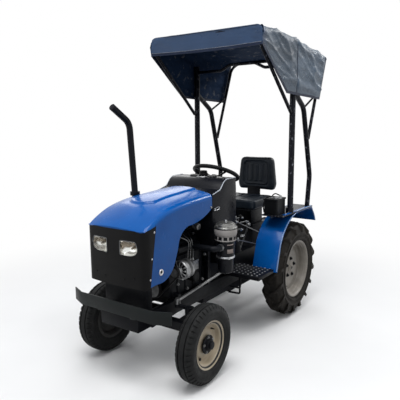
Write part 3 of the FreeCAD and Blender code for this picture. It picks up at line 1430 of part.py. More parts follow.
def lift_arms():
    """Both lift arms on their shaft."""
    half = LINK_X + LINK_T / 2
    pivot = (LINK_PIVOT_Y, LIFT_ARM_Z)
    tip = lift_tip(LIFT_ARM_Z)
    parts = [cross_rod(LIFT_SHAFT_R, -half, half, *pivot)]
    for side in SIDES.values():
        x0 = side * LINK_X - LINK_T / 2
        x1 = x0 + LINK_T
        parts.append(tapered_bar(x0, x1, pivot, tip, LIFT_BOSS_R, LIFT_TIP_R))
        parts.append(cross_rod(LIFT_TIP_R, x0, x1, *tip))
        parts.append(cross_rod(LIFT_BOSS_R, x0, x1, *pivot))
    return fused(parts)


def lift_rods():
    parts = []
    top = lift_tip(LIFT_ARM_Z)
    low = lift_tip(LINK_PIVOT_Z)
    for side in SIDES.values():
        x0 = side * (LINK_X + LINK_T / 2 + SEAT_GAP)
        x1 = x0 + side * LIFT_ROD_T
        middle = (x0 + x1) / 2
        parts.append(fused([
            rod(LIFT_ROD_R, V(middle, *top), V(middle, *low)),
            cross_rod(LIFT_TIP_R, x0, x1, *top),
            cross_rod(LIFT_TIP_R, x0, x1, *low),
        ]))
    return Part.makeCompound(parts)


# ================================================================ fenders and floor
def fender_runs(inset):
    """The fender's side view, front foot to rear lip, as straight and curved runs."""
    front_y = FENDER_FRONT_Y + inset
    knee_y = front_y + FENDER_RAKE
    top_z = PLATE_LOW_Z - inset
    reach = FENDER_CROWN_Y - knee_y
    rise = top_z - FENDER_KNEE_Z
    radius = (reach ** 2 + rise ** 2) / (2 * rise)
    half_turn = math.asin(reach / radius) / 2
    shoulder = (FENDER_CROWN_Y - radius * math.sin(half_turn), top_z - radius * (1 - math.cos(half_turn)))
    return [
        (front_y, FENDER_FOOT_Z),
        (knee_y, FENDER_KNEE_Z),
        (shoulder, (FENDER_CROWN_Y, top_z)),
        (FENDER_BACK_Y, top_z),
        ((FENDER_BACK_Y + FENDER_BACK_MID, top_z - FENDER_BACK_DROP), (FENDER_REAR_Y - inset, FENDER_LIP_Z)),
    ]


def fender(side):
    """Arch over the wheel with its inner wall, and the bracket to the axle housing."""
    inner = fender_runs(FENDER_T)
    arch = slab_x(fender_runs(0.0), FENDER_IN_X, FENDER_OUT_X)
    room = slab_x(inner + [(FENDER_REAR_Y - FENDER_T, 0.0), (FENDER_FRONT_Y + FENDER_T, 0.0)],
                  FENDER_IN_X - EXTRA, FENDER_OUT_X + EXTRA)
    wall = slab_x(inner[:-1] + [
        (FENDER_WALL_REAR_Y, FENDER_WALL_Z),
        (FENDER_WALL_LOW_REAR_Y, FENDER_BRACKET_Z),
        (FENDER_WALL_FRONT_Y, FENDER_BRACKET_Z),
        (FENDER_WALL_FOOT_Y, FENDER_FOOT_Z),
    ], FENDER_IN_X, FENDER_IN_X + FENDER_T)
    bracket = box(CASE_HALF_W - LIFT_INSET, FENDER_IN_X + FENDER_T, REAR_AXLE_Y - FENDER_BRACKET_HALF,
                  REAR_AXLE_Y + FENDER_BRACKET_HALF, FENDER_BRACKET_Z, FENDER_BRACKET_Z + FENDER_BRACKET_T)
    return on_side(fused([arch.cut(room), wall, bracket]), side)


def footplate(side):
    """Floor panel with turned-down edges; the left one has the step's stay below."""
    top = FOOTPLATE_TOP_Z
    under = top - FOOTPLATE_T
    low = top - FOOTPLATE_EDGE
    front = FOOTPLATE_FRONT_Y
    out = FOOTPLATE_OUT_X
    climb = (under - FENDER_FOOT_Z) / (FENDER_KNEE_Z - FENDER_FOOT_Z)
    rear = FENDER_FRONT_Y + FENDER_RAKE * climb - SEAT_GAP
    parts = [
        box(CASE_HALF_W, out, front, rear, under, top),
        box(CASE_HALF_W + FOOTPLATE_EDGE, out, front, front + FOOTPLATE_T, low, top),
        box(out - FOOTPLATE_T, out, front, FENDER_FRONT_Y - SEAT_GAP, low, top),
    ]
    if side == "left":
        stay_y = front + FOOTPLATE_T + STAY_R
        low_z = top - STAY_DROP
        parts.append(bent_rod([V(STAY_X, stay_y, under), V(STAY_X, stay_y, low_z),
                               V(STAY_X - STAY_TOE, stay_y, low_z)], [2 * STAY_R], STAY_R))
    return on_side(fused(parts), side)


# ================================================================ hood
def hood_sections():
    """(y, shoulder height) along the hood, nose to rear."""
    return [
        (-1090.0, 950.0),
        (-1050.0, 986.0),
        (-985.0, 1026.0),
        (-891.0, 1066.0),
        (-776.0, 1092.0),
        (-621.0, 1109.0),
        (HOOD_REAR_Y, HOOD_SHOULDER_Z),
    ]


def hood_solid(inset):
    """Loft through the hood's cross sections: straight sides, round shoulders, crowned top."""
    wires = []
    half = HOOD_HALF_W - inset
    radius = HOOD_SHOULDER_R - inset
    chord = radius * (1 - math.sqrt(0.5))
    low = MASK_LOW_Z - HOOD_SHOULDER_R
    for y, shoulder in hood_sections():
        top = shoulder - inset
        wires.append(outline_face(lambda x, z: V(x, y, z), [
            (-half, low),
            (-half, top - radius),
            ((-half + chord, top - chord), (-half + radius, top)),
            ((0.0, top + HOOD_CROWN), (half - radius, top)),
            ((half - chord, top - chord), (half, top - radius)),
            (half, low),
        ]).OuterWire)
    return Part.makeLoft(wires, True, False)


def plan_solid(inset):
    """The hood and mask seen from above: bowed front, rounded corners."""
    half = HOOD_HALF_W - inset
    corner_y = MASK_CORNER_Y + inset
    side_y = MASK_SIDE_Y
    mid_x = MASK_CORNER_X + (half - MASK_CORNER_X) * math.sqrt(0.5)
    mid_y = side_y - (side_y - corner_y) * math.sqrt(0.5)
    rear = HOOD_REAR_Y + EXTRA
    low = MASK_LOW_Z - HOOD_SHOULDER_R
    return slab_z([
        (-half, rear),
        (-half, side_y),
        ((-mid_x, mid_y), (-MASK_CORNER_X, corner_y)),
        ((0.0, MASK_FRONT_Y + inset), (MASK_CORNER_X, corner_y)),
        ((mid_x, mid_y), (half, side_y)),
        (half, rear),
    ], low, HOOD_CLEAR_Z)


def hood_skin():
    outer = hood_solid(0.0).common(plan_solid(0.0))
    inner = hood_solid(HOOD_T).common(plan_solid(HOOD_T))
    return outer.cut(inner)


def panel_prism(inset):
    """The raised centre panel seen from above: parallel sides and a rounded nose."""
    half = HOOD_PANEL_HALF - inset
    nose = HOOD_PANEL_FRONT_Y + inset
    turn = nose + HOOD_PANEL_NOSE
    rear = HOOD_REAR_Y + EXTRA
    return slab_z([
        (-half, rear),
        (-half, turn),
        ((0.0, nose), (half, turn)),
        (half, rear),
    ], MASK_TOP_Z, HOOD_CLEAR_Z)


def side_panel_runs():
    """What the hood covers, seen from the side: mask seam, top, and the stepped lower edge."""
    rear = HOOD_REAR_Y + EXTRA
    return [
        (MASK_EDGE_LOW_Y, MASK_EDGE_LOW_Z),
        (MASK_EDGE_TOP_Y, MASK_EDGE_TOP_Z),
        (MASK_BROW_Y, MASK_TOP_Z),
        (HOOD_CLEAR_Y, MASK_TOP_Z),
        (HOOD_CLEAR_Y, HOOD_CLEAR_Z),
        (rear, HOOD_CLEAR_Z),
        (rear, PANEL_REAR_Z),
        (HOOD_REAR_Y, PANEL_REAR_Z),
        ((PANEL_SWEEP_Y, PANEL_SWEEP_Z), (PANEL_STEP_Y, PANEL_STEP_Z)),
        ((PANEL_ELBOW_Y, PANEL_ELBOW_Z), (PANEL_DROP_Y, PANEL_DROP_Z)),
        (PANEL_HEEL_Y, PANEL_HEEL_Z),
        ((PANEL_TOE_Y, PANEL_TOE_Z), (PANEL_SOLE_Y, PANEL_SOLE_Z)),
    ]


def hood_shell():
    """Pressed hood with its raised panel, stepped side panels and two hinge eyes."""
    far = HOOD_HALF_W + EXTRA
    raised = hood_solid(-HOOD_PANEL_RISE).common(panel_prism(0.0))
    hollow = hood_solid(HOOD_T - HOOD_PANEL_RISE).common(panel_prism(HOOD_T))
    skin = hood_skin().fuse(raised.cut(hood_solid(HOOD_T))).cut(hollow)
    parts = [skin.common(slab_x(side_panel_runs(), -far, far))]
    bores = []
    for side in SIDES.values():
        x0 = side * HINGE_X - HINGE_EYE_HALF
        x1 = x0 + 2 * HINGE_EYE_HALF
        web_top = hood_top_at(HINGE_X - HINGE_EYE_HALF) - HOOD_T
        parts.append(cross_rod(HINGE_EYE_R, x0, x1, HOOD_REAR_Y, HINGE_Z))
        parts.append(box(x0, x1, HOOD_REAR_Y - HINGE_EYE_R, HOOD_REAR_Y, HINGE_Z, web_top))
        bores.append(cross_rod(HINGE_PIN_R + RUNNING_GAP, x0 - EXTRA, x1 + EXTRA,
                               HOOD_REAR_Y, HINGE_Z))
    return fused(parts).cut(bores)


def hood_top_at(x):
    """About how high the hood's crowned top stands at its rear edge."""
    flat = HOOD_HALF_W - HOOD_SHOULDER_R
    return HOOD_SHOULDER_Z + HOOD_CROWN * (1 - (x / flat) ** 2)


def hinge_lugs():
    """Two lugs and a pin for each hood hinge, standing on the console's front edge."""
    parts = []
    reach = HINGE_EYE_HALF + HINGE_SIDE_GAP + HINGE_LUG_T
    root_y = CONSOLE_FRONT_Y + CONSOLE_WALL
    for side in SIDES.values():
        x = side * HINGE_X
        parts.append(cross_rod(HINGE_PIN_R, x - reach, x + reach, HOOD_REAR_Y, HINGE_Z))
        for x0 in (x - reach, x + reach - HINGE_LUG_T):
            parts.append(cross_rod(HINGE_EYE_R, x0, x0 + HINGE_LUG_T, HOOD_REAR_Y, HINGE_Z))
            parts.append(slab_x([
                (HOOD_REAR_Y - HINGE_LUG_T, HINGE_Z - HINGE_LUG_T),
                (root_y, CONSOLE_FRONT_TOP_Z - CONSOLE_WALL - HINGE_PIN_R),
                (root_y + HINGE_LUG_REACH, CONSOLE_FRONT_TOP_Z),
                (HOOD_REAR_Y + HINGE_PIN_R, HINGE_Z + HINGE_PIN_R),
            ], x0, x0 + HINGE_LUG_T))
    return parts


def front_mask():
    """Black front cover below the hood's nose, with an opening for each lamp."""
    far = HOOD_HALF_W + EXTRA
    runs = [
        (HOOD_CLEAR_Y, MASK_LOW_Z),
        (HOOD_CLEAR_Y, MASK_TOP_Z - MASK_SEAM),
        (MASK_BROW_Y, MASK_TOP_Z - MASK_SEAM),
        (MASK_EDGE_TOP_Y - MASK_SEAM, MASK_EDGE_TOP_Z - MASK_SEAM),
        (MASK_EDGE_LOW_Y - MASK_SEAM, MASK_EDGE_LOW_Z),
        (MASK_EDGE_LOW_Y - MASK_SEAM, MASK_LOW_Z),
    ]
    mask = hood_skin().common(slab_x(runs, -far, far))
    for side in SIDES.values():
        mask = mask.cut(lamp_block(side, 0.0))
    return mask


def lamp_block(side, inset):
    """The lamp's shape from the front: upright inner edge, lower outer corner cut away."""
    return slab_y([
        (side * (LAMP_IN_X + inset), LAMP_LOW_Z + inset),
        (side * (LAMP_IN_X + inset), LAMP_TOP_Z - inset),
        (side * (LAMP_OUT_X - LAMP_TOP_CUT - inset), LAMP_TOP_Z - inset),
        (side * (LAMP_OUT_X - inset), LAMP_CORNER_Z),
        ((side * (LAMP_OUT_X - LAMP_LOW_CUT - inset), LAMP_LOW_Z + LAMP_LOW_RISE + inset),
         (side * LAMP_LOW_X, LAMP_LOW_Z + inset)),
    ], HOOD_CLEAR_Y, MASK_FRONT_Y + LAMP_DEPTH)


def headlamps():
    front = plan_solid(LAMP_SINK)
    return Part.makeCompound([lamp_block(side, SEAT_GAP).common(front) for side in SIDES.values()])


# ================================================================ console
def console_solid(inset, half_w):
    """The console's side view, with its top swept up to the instrument panel."""
    front = CONSOLE_FRONT_Y + inset
    rear = CONSOLE_REAR_Y - inset
    low = CONSOLE_LOW_Z - (EXTRA if inset else 0.0)
    return slab_x([
        (front + CONSOLE_CHIN, low),
        (front, CONSOLE_CHIN_Z),
        (front, CONSOLE_FRONT_TOP_Z - inset),
        (CONSOLE_SWEEP_Y, CONSOLE_SWEEP_Z - inset),
        ((CONSOLE_BEND_Y, CONSOLE_BEND_Z - inset), (CONSOLE_CROWN_Y, CONSOLE_TOP_Z - inset)),
        (rear - CONSOLE_RAKE, CONSOLE_TOP_Z - inset),
        (rear, CONSOLE_TOP_Z - CONSOLE_REAR_DROP),
        (rear, low),
    ], -half_w, half_w)


def dash_console():
    """Hollow dash open below, on two legs from the rails, with the hood's hinge lugs in front."""
    w = CONSOLE_HALF_W
    wall = CONSOLE_WALL
    passage = rod(COLUMN_R + COLUMN_ROOM, column_point(COLUMN_LEN + 2 * COLUMN_R), column_point(0))
    well = box(-STEER_WELL_HALF, STEER_WELL_HALF, PITMAN_Y - STEER_WELL_FRONT, PITMAN_Y + STEER_WELL_HALF,
               CONSOLE_LOW_Z - EXTRA, CONSOLE_LOW_Z + CONSOLE_WALL + EXTRA)
    shell = console_solid(0.0, w).cut(console_solid(wall, w - wall))
    floor = box(-w + wall, w - wall, CONSOLE_FRONT_Y + CONSOLE_CHIN + wall, CONSOLE_REAR_Y - wall,
                CONSOLE_LOW_Z, CONSOLE_LOW_Z + wall)
    parts = [shell.cut(passage).cut(well), floor.cut(passage).cut(well)]
    leg_front = ENGINE_REAR_Y + BELL_FRONT_LEN + CONSOLE_LEG_GAP
    for side in SIDES.values():
        parts.append(side_box(side, RAIL_IN_X + CONSOLE_WALL, RAIL_OUT_X, leg_front, leg_front + CONSOLE_LEG_W,
                              RAIL_TOP_Z, CONSOLE_LOW_Z + wall / 2))
        parts.append(gauge(side))
    return fused(parts + hinge_lugs())


def gauge(side):
    """A round instrument standing proud of the panel between the hood and the wheel."""
    foot = V(side * GAUGE_X, GAUGE_Y, CONSOLE_TOP_Z - CONSOLE_WALL / 2)
    return rod(GAUGE_R, foot, foot + V(0, 0, CONSOLE_WALL / 2 + GAUGE_H))


# ================================================================ seat and controls
def seat_pan():
    """Pedestal, pan and the backrest's strap."""
    top = SEAT_LOW_Z - SEAT_GAP
    pan_low = SEAT_LOW_Z - PAN_T
    strap_y = PAN_REAR_Y - BACK_STRAP_T
    shelf_low = BACK_LOW_Z + BACK_WAIST_Z
    parts = [
        rounded(box(-PAN_HALF_W, PAN_HALF_W, SEAT_FRONT_Y + PAN_T, PAN_REAR_Y, pan_low, top), PAN_ROUND_R,
                runs_along(Z_AXIS)),
        slab_x([(PEDESTAL_FRONT_Y, LIFT_TOP_Z), (PEDESTAL_FRONT_Y - PEDESTAL_FLARE, pan_low),
                (PAN_REAR_Y - PEDESTAL_FLARE, pan_low), (PAN_REAR_Y - PEDESTAL_FLARE, LIFT_TOP_Z)],
               -PEDESTAL_HALF_W, PEDESTAL_HALF_W),
        box(-BACK_STRAP_HALF, BACK_STRAP_HALF, strap_y, PAN_REAR_Y, pan_low, shelf_low + BACK_SHELF_H),
        box(-BACK_STRAP_HALF, BACK_STRAP_HALF, strap_y, BACK_Y - SEAT_GAP, shelf_low, shelf_low + BACK_SHELF_H),
    ]
    return fused(parts)


def seat_cushion():
    block = box(-SEAT_HALF_W, SEAT_HALF_W, SEAT_FRONT_Y, SEAT_FRONT_Y + SEAT_LEN, SEAT_LOW_Z, SEAT_TOP_Z)
    return rounded(block, SEAT_CORNER_R, runs_along(Z_AXIS))


def seat_backrest():
    """Padded back, widest at the waist and narrower at the top, with rounded corners."""
    waist = BACK_LOW_Z + BACK_WAIST_Z
    back = slab_y([
        (-BACK_HALF_W, waist),
        (-BACK_HALF_W, BACK_LOW_Z),
        (BACK_HALF_W, BACK_LOW_Z),
        (BACK_HALF_W, waist),
        (BACK_TOP_HALF_W, BACK_TOP_Z),
        (-BACK_TOP_HALF_W, BACK_TOP_Z),
    ], BACK_Y, BACK_Y + BACK_T)
    sharp = [edge for edge in back.Edges if runs_along(Y_AXIS)(edge)
             and abs(edge.BoundBox.Center.z - waist) > BACK_CORNER]
    return back.makeFillet(BACK_CORNER, sharp)


def lever(foot, knob, stem_r, knob_r):
    """A lever with a ball knob, standing on a round boot."""
    return fused([
        rod(stem_r + BOOT_WIDER, foot, foot + V(0, 0, BOOT_H)),
        rod(stem_r, foot + V(0, 0, BOOT_H / 2), knob),
        Part.makeSphere(knob_r, knob),
    ])


def control_levers():
    side_foot = V(SIDE_LEVER_X, SIDE_LEVER_Y, CASE_TOP_Z)
    side_knob = V(SIDE_LEVER_KNOB_X, SIDE_LEVER_Y - SIDE_LEVER_LEAN, SIDE_LEVER_KNOB_Z)
    levers = [lever(side_foot, side_knob, SIDE_LEVER_R, SIDE_KNOB_R)]
    for side in SIDES.values():
        foot = V(side * LEVER_X, LEVER_Y, CASE_TOP_Z)
        knob = V(side * LEVER_KNOB_X, LEVER_Y - LEVER_LEAN, LEVER_KNOB_Z)
        levers.append(lever(foot, knob, LEVER_R, KNOB_R))
    return Part.makeCompound(levers)


def foot_pedal(x):
    """Pad on an arm that leans forward from its foot on the floor panel."""
    foot_top = FOOTPLATE_TOP_Z + PEDAL_FOOT_H
    pad = Part.makeBox(2 * PEDAL_PAD_HALF, PEDAL_PAD_T, PEDAL_PAD_H)
    pad.translate(V(x - PEDAL_PAD_HALF, PEDAL_PAD_Y - PEDAL_PAD_T / 2, PEDAL_PAD_Z - PEDAL_PAD_H / 2))
    return fused([
        rod(PEDAL_FOOT_R, V(x, PEDAL_FOOT_Y, FOOTPLATE_TOP_Z), V(x, PEDAL_FOOT_Y, foot_top)),
        rod(PEDAL_ARM_R, V(x, PEDAL_FOOT_Y, foot_top - PEDAL_ARM_R), V(x, PEDAL_PAD_Y, PEDAL_PAD_Z)),
        pad,
    ])


def foot_pedals():
    return Part.makeCompound([foot_pedal(x) for x in PEDAL_X])


def battery_box():
    """Moulded box with rounded corners and a wider lid."""
    lid_low = PLATE_TOP_Z + BATTERY_H
    over = BATTERY_LID_OVER
    lid = box(BATTERY_IN_X, BATTERY_OUT_X, BATTERY_FRONT_Y, BATTERY_REAR_Y, lid_low, lid_low + BATTERY_LID_T)
    case = box(BATTERY_IN_X + over, BATTERY_OUT_X - over, BATTERY_FRONT_Y + over, BATTERY_REAR_Y - over,
               PLATE_TOP_Z, lid_low)
    return fused([rounded(part, BATTERY_ROUND_R, runs_along(Z_AXIS)) for part in (case, lid)])


# ================================================================ roof frame and canopy
def bent_points():
    """The bent tube's corners: foot, knee, bend and its end at the post."""
    return [
        V(POST_X, BENT_FOOT_Y, PLATE_TOP_Z),
        V(POST_X, BENT_KNEE_Y, BENT_KNEE_Z),
        V(POST_X, BENT_BEND_Y, BENT_BEND_Z),
        V(POST_X, POST_Y, BENT_TOP_Z),
    ]


def bent_tube(grow):
    return bent_rod(bent_points(), [BENT_KNEE_R, BENT_BEND_R], BENT_R + grow)


def side_frame(side):
    """Base plate on the fender, the upright post and the bent tube behind it."""
    x = POST_X
    foot_x = x - POST_FOOT_SHIFT
    plate = box(PLATE_IN_X, FENDER_OUT_X, PLATE_FRONT_Y, PLATE_REAR_Y, PLATE_LOW_Z, PLATE_TOP_Z)
    post = rod(POST_R, V(x, POST_Y, PLATE_TOP_Z), V(x, POST_Y, POST_TOP_Z))
    foot = rod(POST_FOOT_R, V(foot_x, POST_Y, PLATE_TOP_Z), V(foot_x, POST_Y, PLATE_TOP_Z + POST_FOOT_H))
    return on_side(fused([plate, post, foot, bent_tube(0.0)]), side)


def top_crossbar():
    """Bar between the posts, stepped up in the middle."""
    x = POST_X - POST_R - SEAT_GAP
    high = CROSSBAR_Z + CROSSBAR_RISE
    steps = [(x, CROSSBAR_Z), (CROSSBAR_STEP_OUT, CROSSBAR_Z), (CROSSBAR_STEP_IN, high)]
    left = [V(reach, POST_Y, z) for reach, z in steps]
    right = [V(-reach, POST_Y, z) for reach, z in reversed(steps)]
    return bent_rod(left + right, [CROSSBAR_BEND_R] * 4, CROSSBAR_R)


def front_bow():
    """Bow from the posts up to the canopy's front edge, with the bar that holds the valance."""
    joint = V(BOW_X, POST_Y - POST_R - BOW_R - SEAT_GAP, FRONT_BOW_JOINT_Z)
    elbow = V(BOW_X, FRONT_BAR_Y, FRONT_BAR_LOW_Z)
    corner = V(BOW_X, FRONT_BAR_Y, FRONT_BAR_TOP_Z)
    left = [joint, elbow, corner]
    right = [V(-point.x, point.y, point.z) for point in reversed(left)]
    bow = bent_rod(left + right, [FRONT_ELBOW_R, FRONT_CORNER_R, FRONT_CORNER_R, FRONT_ELBOW_R], BOW_R)
    end = BOW_X + FRONT_BAR_END
    parts = [bow, cross_rod(CROSSBAR_R, -end, end, FRONT_BAR_Y, FRONT_BAR_LOW_Z)]
    for side in SIDES.values():
        x = side * BOW_X
        parts.append(rod(BOW_CLAMP_R, V(x, joint.y - BOW_CLAMP_R, joint.z), V(x, joint.y + BOW_R, joint.z)))
    return fused(parts)


def rear_bow():
    """Bow from the bent tubes up to the canopy's rear edge, stayed to each bent tube."""
    foot = V(BOW_X, REAR_BOW_FOOT_Y, REAR_BOW_FOOT_Z)
    top = V(BOW_X, REAR_BAR_Y, REAR_BAR_Z)
    right = [V(-top.x, top.y, top.z), V(-foot.x, foot.y, foot.z)]
    bow = bent_rod([foot, top] + right, [BOW_CORNER_R, BOW_CORNER_R], BOW_R)
    share = (BOW_STAY_HIGH_Z - foot.z) / (top.z - foot.z)
    stay = rod(BOW_STAY_R, V(BOW_X, BENT_BEND_Y, BENT_BEND_Z), foot + (top - foot) * share)
    stay = stay.cut(bent_tube(SEAT_GAP))
    return fused([bow, stay, mirrored(stay)])


def canopy_runs(inset):
    """The roof cloth's side view, outside or inside its thickness."""
    over = BOW_R + SEAT_GAP + CLOTH_T - inset
    top = FRONT_BAR_TOP_Z + over
    return [
        (FRONT_BAR_Y - over, FRONT_BAR_LOW_Z - over - inset),
        (FRONT_BAR_Y - over, top),
        (RIDGE_Y, top + RIDGE_RISE),
        (REAR_BAR_Y + over, REAR_BAR_Z + over),
    ]


def canopy_solid(inset, base):
    half = POST_X + POST_R + CLOTH_SIDE_GAP + CLOTH_T - inset
    block = slab_x(canopy_runs(inset) + base, -half, half)
    roof_edges = [edge for edge in block.Edges
                  if edge.BoundBox.XLength < SEAT_GAP and edge.BoundBox.YLength > RIDGE_Y
                  and edge.BoundBox.ZMin > REAR_BAR_Z]
    return block.makeFillet(CLOTH_ROUND_R - inset, roof_edges)


def canopy_cover():
    """Roof cloth: valance in front, flaps at the sides, open below and behind."""
    outer = canopy_solid(0.0, [(FLAP_REAR_Y, FLAP_LOW_Z - FLAP_REAR_DROP), (FLAP_FRONT_Y, FLAP_LOW_Z)])
    low = FLAP_LOW_Z - FLAP_FRONT_Y
    inner = canopy_solid(CLOTH_T, [(REAR_BAR_Y + BOW_R, low), (FRONT_BAR_Y - BOW_R, low)])
    return outer.cut(inner)


# ================================================================ nodes
def nodes():
    made = {
        "frame_rails": frame_rails(),
        "front_axle": front_axle(),
        "front_bumper": front_bumper(),
        "radiator": radiator(),
        "engine_block": engine_block(),
        "cylinder_head": cylinder_head(),
        "intake_pipe": intake_pipe(),
        "injection_pump": injection_pump(),
        "oil_filter": oil_filter(),
        "starter_motor": starter_motor(),
        "cooling_fan": cooling_fan(),
        "alternator": alternator(),
        "belt_drive": belt_drive(),
        "exhaust_stack": exhaust_stack(),
        "air_cleaner": air_cleaner(),
        "transmission_case": transmission_case(),
        "pto_shaft": pto_shaft(),
        "hitch_frame": hitch_frame(),
        "lower_links": lower_links(),
        "lift_arms": lift_arms(),
        "lift_rods": lift_rods(),
        "hood_shell": hood_shell(),
        "front_mask": front_mask(),
        "headlamps": headlamps(),
        "dash_console": dash_console(),
        "steering_column": steering_column(),
        "steering_wheel": steering_wheel(),
        "pitman_arm": pitman_arm(),
        "drag_link": drag_link(),
        "tie_rod": tie_rod(),
        "seat_pan": seat_pan(),
        "seat_cushion": seat_cushion(),
        "seat_backrest": seat_backrest(),
        "control_levers": control_levers(),
        "foot_pedals": foot_pedals(),
        "battery_box": battery_box(),
        "top_crossbar": top_crossbar(),
        "front_bow": front_bow(),
        "rear_bow": rear_bow(),
        "canopy_cover": canopy_cover(),
    }
    for side in SIDES:
        made["front_tyre_" + side] = on_side(front_tyre(), side)
        made["front_rim_" + side] = on_side(front_rim(), side)
        made["rear_tyre_" + side] = on_side(rear_tyre(), side)
        made["rear_rim_" + side] = on_side(rear_rim(), side)
        made["knuckle_" + side] = knuckle(side)
        made["fender_" + side] = fender(side)
        made["footplate_" + side] = footplate(side)
        made["side_frame_" + side] = side_frame(side)
    return made


os.makedirs("parts", exist_ok=True)
for name, shape in nodes().items():
    shape.exportStep("parts/" + name + ".step")
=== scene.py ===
import json
import math
from contextlib import contextmanager

import bmesh
import bpy
from mathutils import Matrix, Vector, geometry, noise

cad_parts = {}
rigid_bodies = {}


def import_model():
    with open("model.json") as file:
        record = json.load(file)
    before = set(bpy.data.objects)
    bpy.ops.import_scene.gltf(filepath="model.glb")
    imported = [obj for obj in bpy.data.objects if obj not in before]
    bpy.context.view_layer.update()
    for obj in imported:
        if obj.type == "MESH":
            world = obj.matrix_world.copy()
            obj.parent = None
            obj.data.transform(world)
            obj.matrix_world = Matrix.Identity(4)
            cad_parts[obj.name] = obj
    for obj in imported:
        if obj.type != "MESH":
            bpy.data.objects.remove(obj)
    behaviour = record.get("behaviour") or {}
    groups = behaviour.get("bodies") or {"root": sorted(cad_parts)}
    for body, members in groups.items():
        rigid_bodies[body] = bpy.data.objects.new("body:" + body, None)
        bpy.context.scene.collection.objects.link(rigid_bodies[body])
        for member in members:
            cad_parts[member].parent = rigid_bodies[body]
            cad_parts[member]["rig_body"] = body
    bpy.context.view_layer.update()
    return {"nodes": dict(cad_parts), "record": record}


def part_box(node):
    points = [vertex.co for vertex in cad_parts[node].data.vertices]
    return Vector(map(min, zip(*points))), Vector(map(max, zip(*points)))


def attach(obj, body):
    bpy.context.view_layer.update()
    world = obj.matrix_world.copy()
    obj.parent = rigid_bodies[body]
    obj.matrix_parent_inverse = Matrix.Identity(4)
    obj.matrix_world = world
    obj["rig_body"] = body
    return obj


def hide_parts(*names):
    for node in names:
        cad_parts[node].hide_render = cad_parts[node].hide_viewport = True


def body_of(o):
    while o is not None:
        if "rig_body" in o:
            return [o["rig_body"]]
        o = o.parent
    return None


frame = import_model()

# Metres in the CAD frame: +X is the tractor's left, -Y its front, +Z up.
# Turned profiles are (radius, along) pairs in millimetres.
MM = 0.001
X = Vector((1, 0, 0))
Y = Vector((0, 1, 0))
Z = Vector((0, 0, 1))
SIDES = {"left": 1, "right": -1}
TURN = 2 * math.pi
SEAM_Y = 0.440
LAMP_LOW_Z = 0.836
LAMP = [(0.052, LAMP_LOW_Z), (0.052, 0.922), (0.166, 0.922), (0.180, 0.880), (0.167, 0.850),
        (0.130, LAMP_LOW_Z)]


# ================================================================ materials
def shader(name):
    mat = bpy.data.materials.new(name)
    mat.use_nodes = True
    return mat, mat.node_tree, mat.node_tree.nodes["Principled BSDF"]


def feed(tree, made, inputs):
    """Fills a node's inputs: an output of another node is linked, anything else is the value itself."""
    for key, value in inputs.items():
        if isinstance(value, bpy.types.NodeSocket):
            tree.links.new(value, made.inputs[key])
        else:
            made.inputs[key].default_value = value


def add(tree, kind, inputs, **settings):
    """A new node's outputs."""
    made = tree.nodes.new("ShaderNode" + kind)
    for key, value in settings.items():
        setattr(made, key, value)
    feed(tree, made, inputs)
    return made.outputs


def grain_of(tree, scale, detail=4.0, rough=0.55, stretch=(1, 1, 1)):
    """Noise laid out in the object's own space."""
    spot = add(tree, "Mapping", {"Vector": add(tree, "TexCoord", {})["Object"], "Scale": stretch})[0]
    return add(tree, "TexNoise", {"Vector": spot, "Scale": scale, "Detail": detail, "Roughness": rough})[0]


def ramp(tree, fac, stops):
    made = tree.nodes.new("ShaderNodeValToRGB")
    elements = made.color_ramp.elements
    while len(elements) < len(stops):
        elements.new(0.5)
    for element, (place_on, tone) in zip(elements, stops):
        element.position = place_on
        element.color = (tone, tone, tone, 1) if isinstance(tone, float) else (*tone, 1)
    tree.links.new(fac, made.inputs["Fac"])
    return made.outputs["Color"]


def cloud(tree, sizes, *stops):
    """Noise with a colour or a level at each stop."""
    return ramp(tree, grain_of(tree, *sizes), stops)


def bump(tree, height, strength, distance):
    return add(tree, "Bump", {"Height": height, "Strength": strength, "Distance": distance})[0]


def times(colour, factor):
    return [c * factor for c in colour]


def mixed(tree, factor, first, second):
    return add(tree, "Mix", {"Factor": factor, 6: first, 7: second}, data_type="RGBA")[2]


def in_object(tree, what="Object"):
    return add(tree, "SeparateXYZ", {"Vector": add(tree, "TexCoord", {})[what]})


def paint(slot, name, dark, light, rough, coat=0.0, grain=90.0, peel=0.03, specular=0.5):
    """Painted or moulded surface: cloudy colour, uneven roughness, fine surface texture."""
    mat, tree, bsdf = shader(name)
    feed(tree, bsdf, {
        "Base Color": cloud(tree, (6.0, 5.0), (0.3, dark), (0.7, light)),
        "Roughness": cloud(tree, (22.0, 6.0, 0.65), (0.3, max(rough - 0.07, 0.02)), (0.75, rough + 0.1)),
        "Normal": bump(tree, grain_of(tree, grain, 3.0), peel, 0.002),
        "Specular IOR Level": specular, "Coat Weight": coat, "Coat Roughness": 0.06})
    return slot, mat


def scuffed(slot, name, dark, light, scratch, rough, amount=0.62, specular=0.5):
    """Paint with scratches and dust, as on the roof posts and the rims."""
    mat, tree, bsdf = shader(name)
    marks = cloud(tree, (38.0, 7.0, 0.75, (1.3, 1.3, 0.6)), (amount, 0.0), (amount + 0.05, 1.0))
    feed(tree, bsdf, {
        "Base Color": mixed(tree, marks, cloud(tree, (7.0, 5.0), (0.35, dark), (0.7, light)), (*scratch, 1)),
        "Roughness": ramp(tree, marks, [(0.0, rough), (1.0, rough + 0.3)]),
        "Normal": bump(tree, grain_of(tree, 140.0, 3.0), 0.05, 0.001),
        "Specular IOR Level": specular})
    return slot, mat


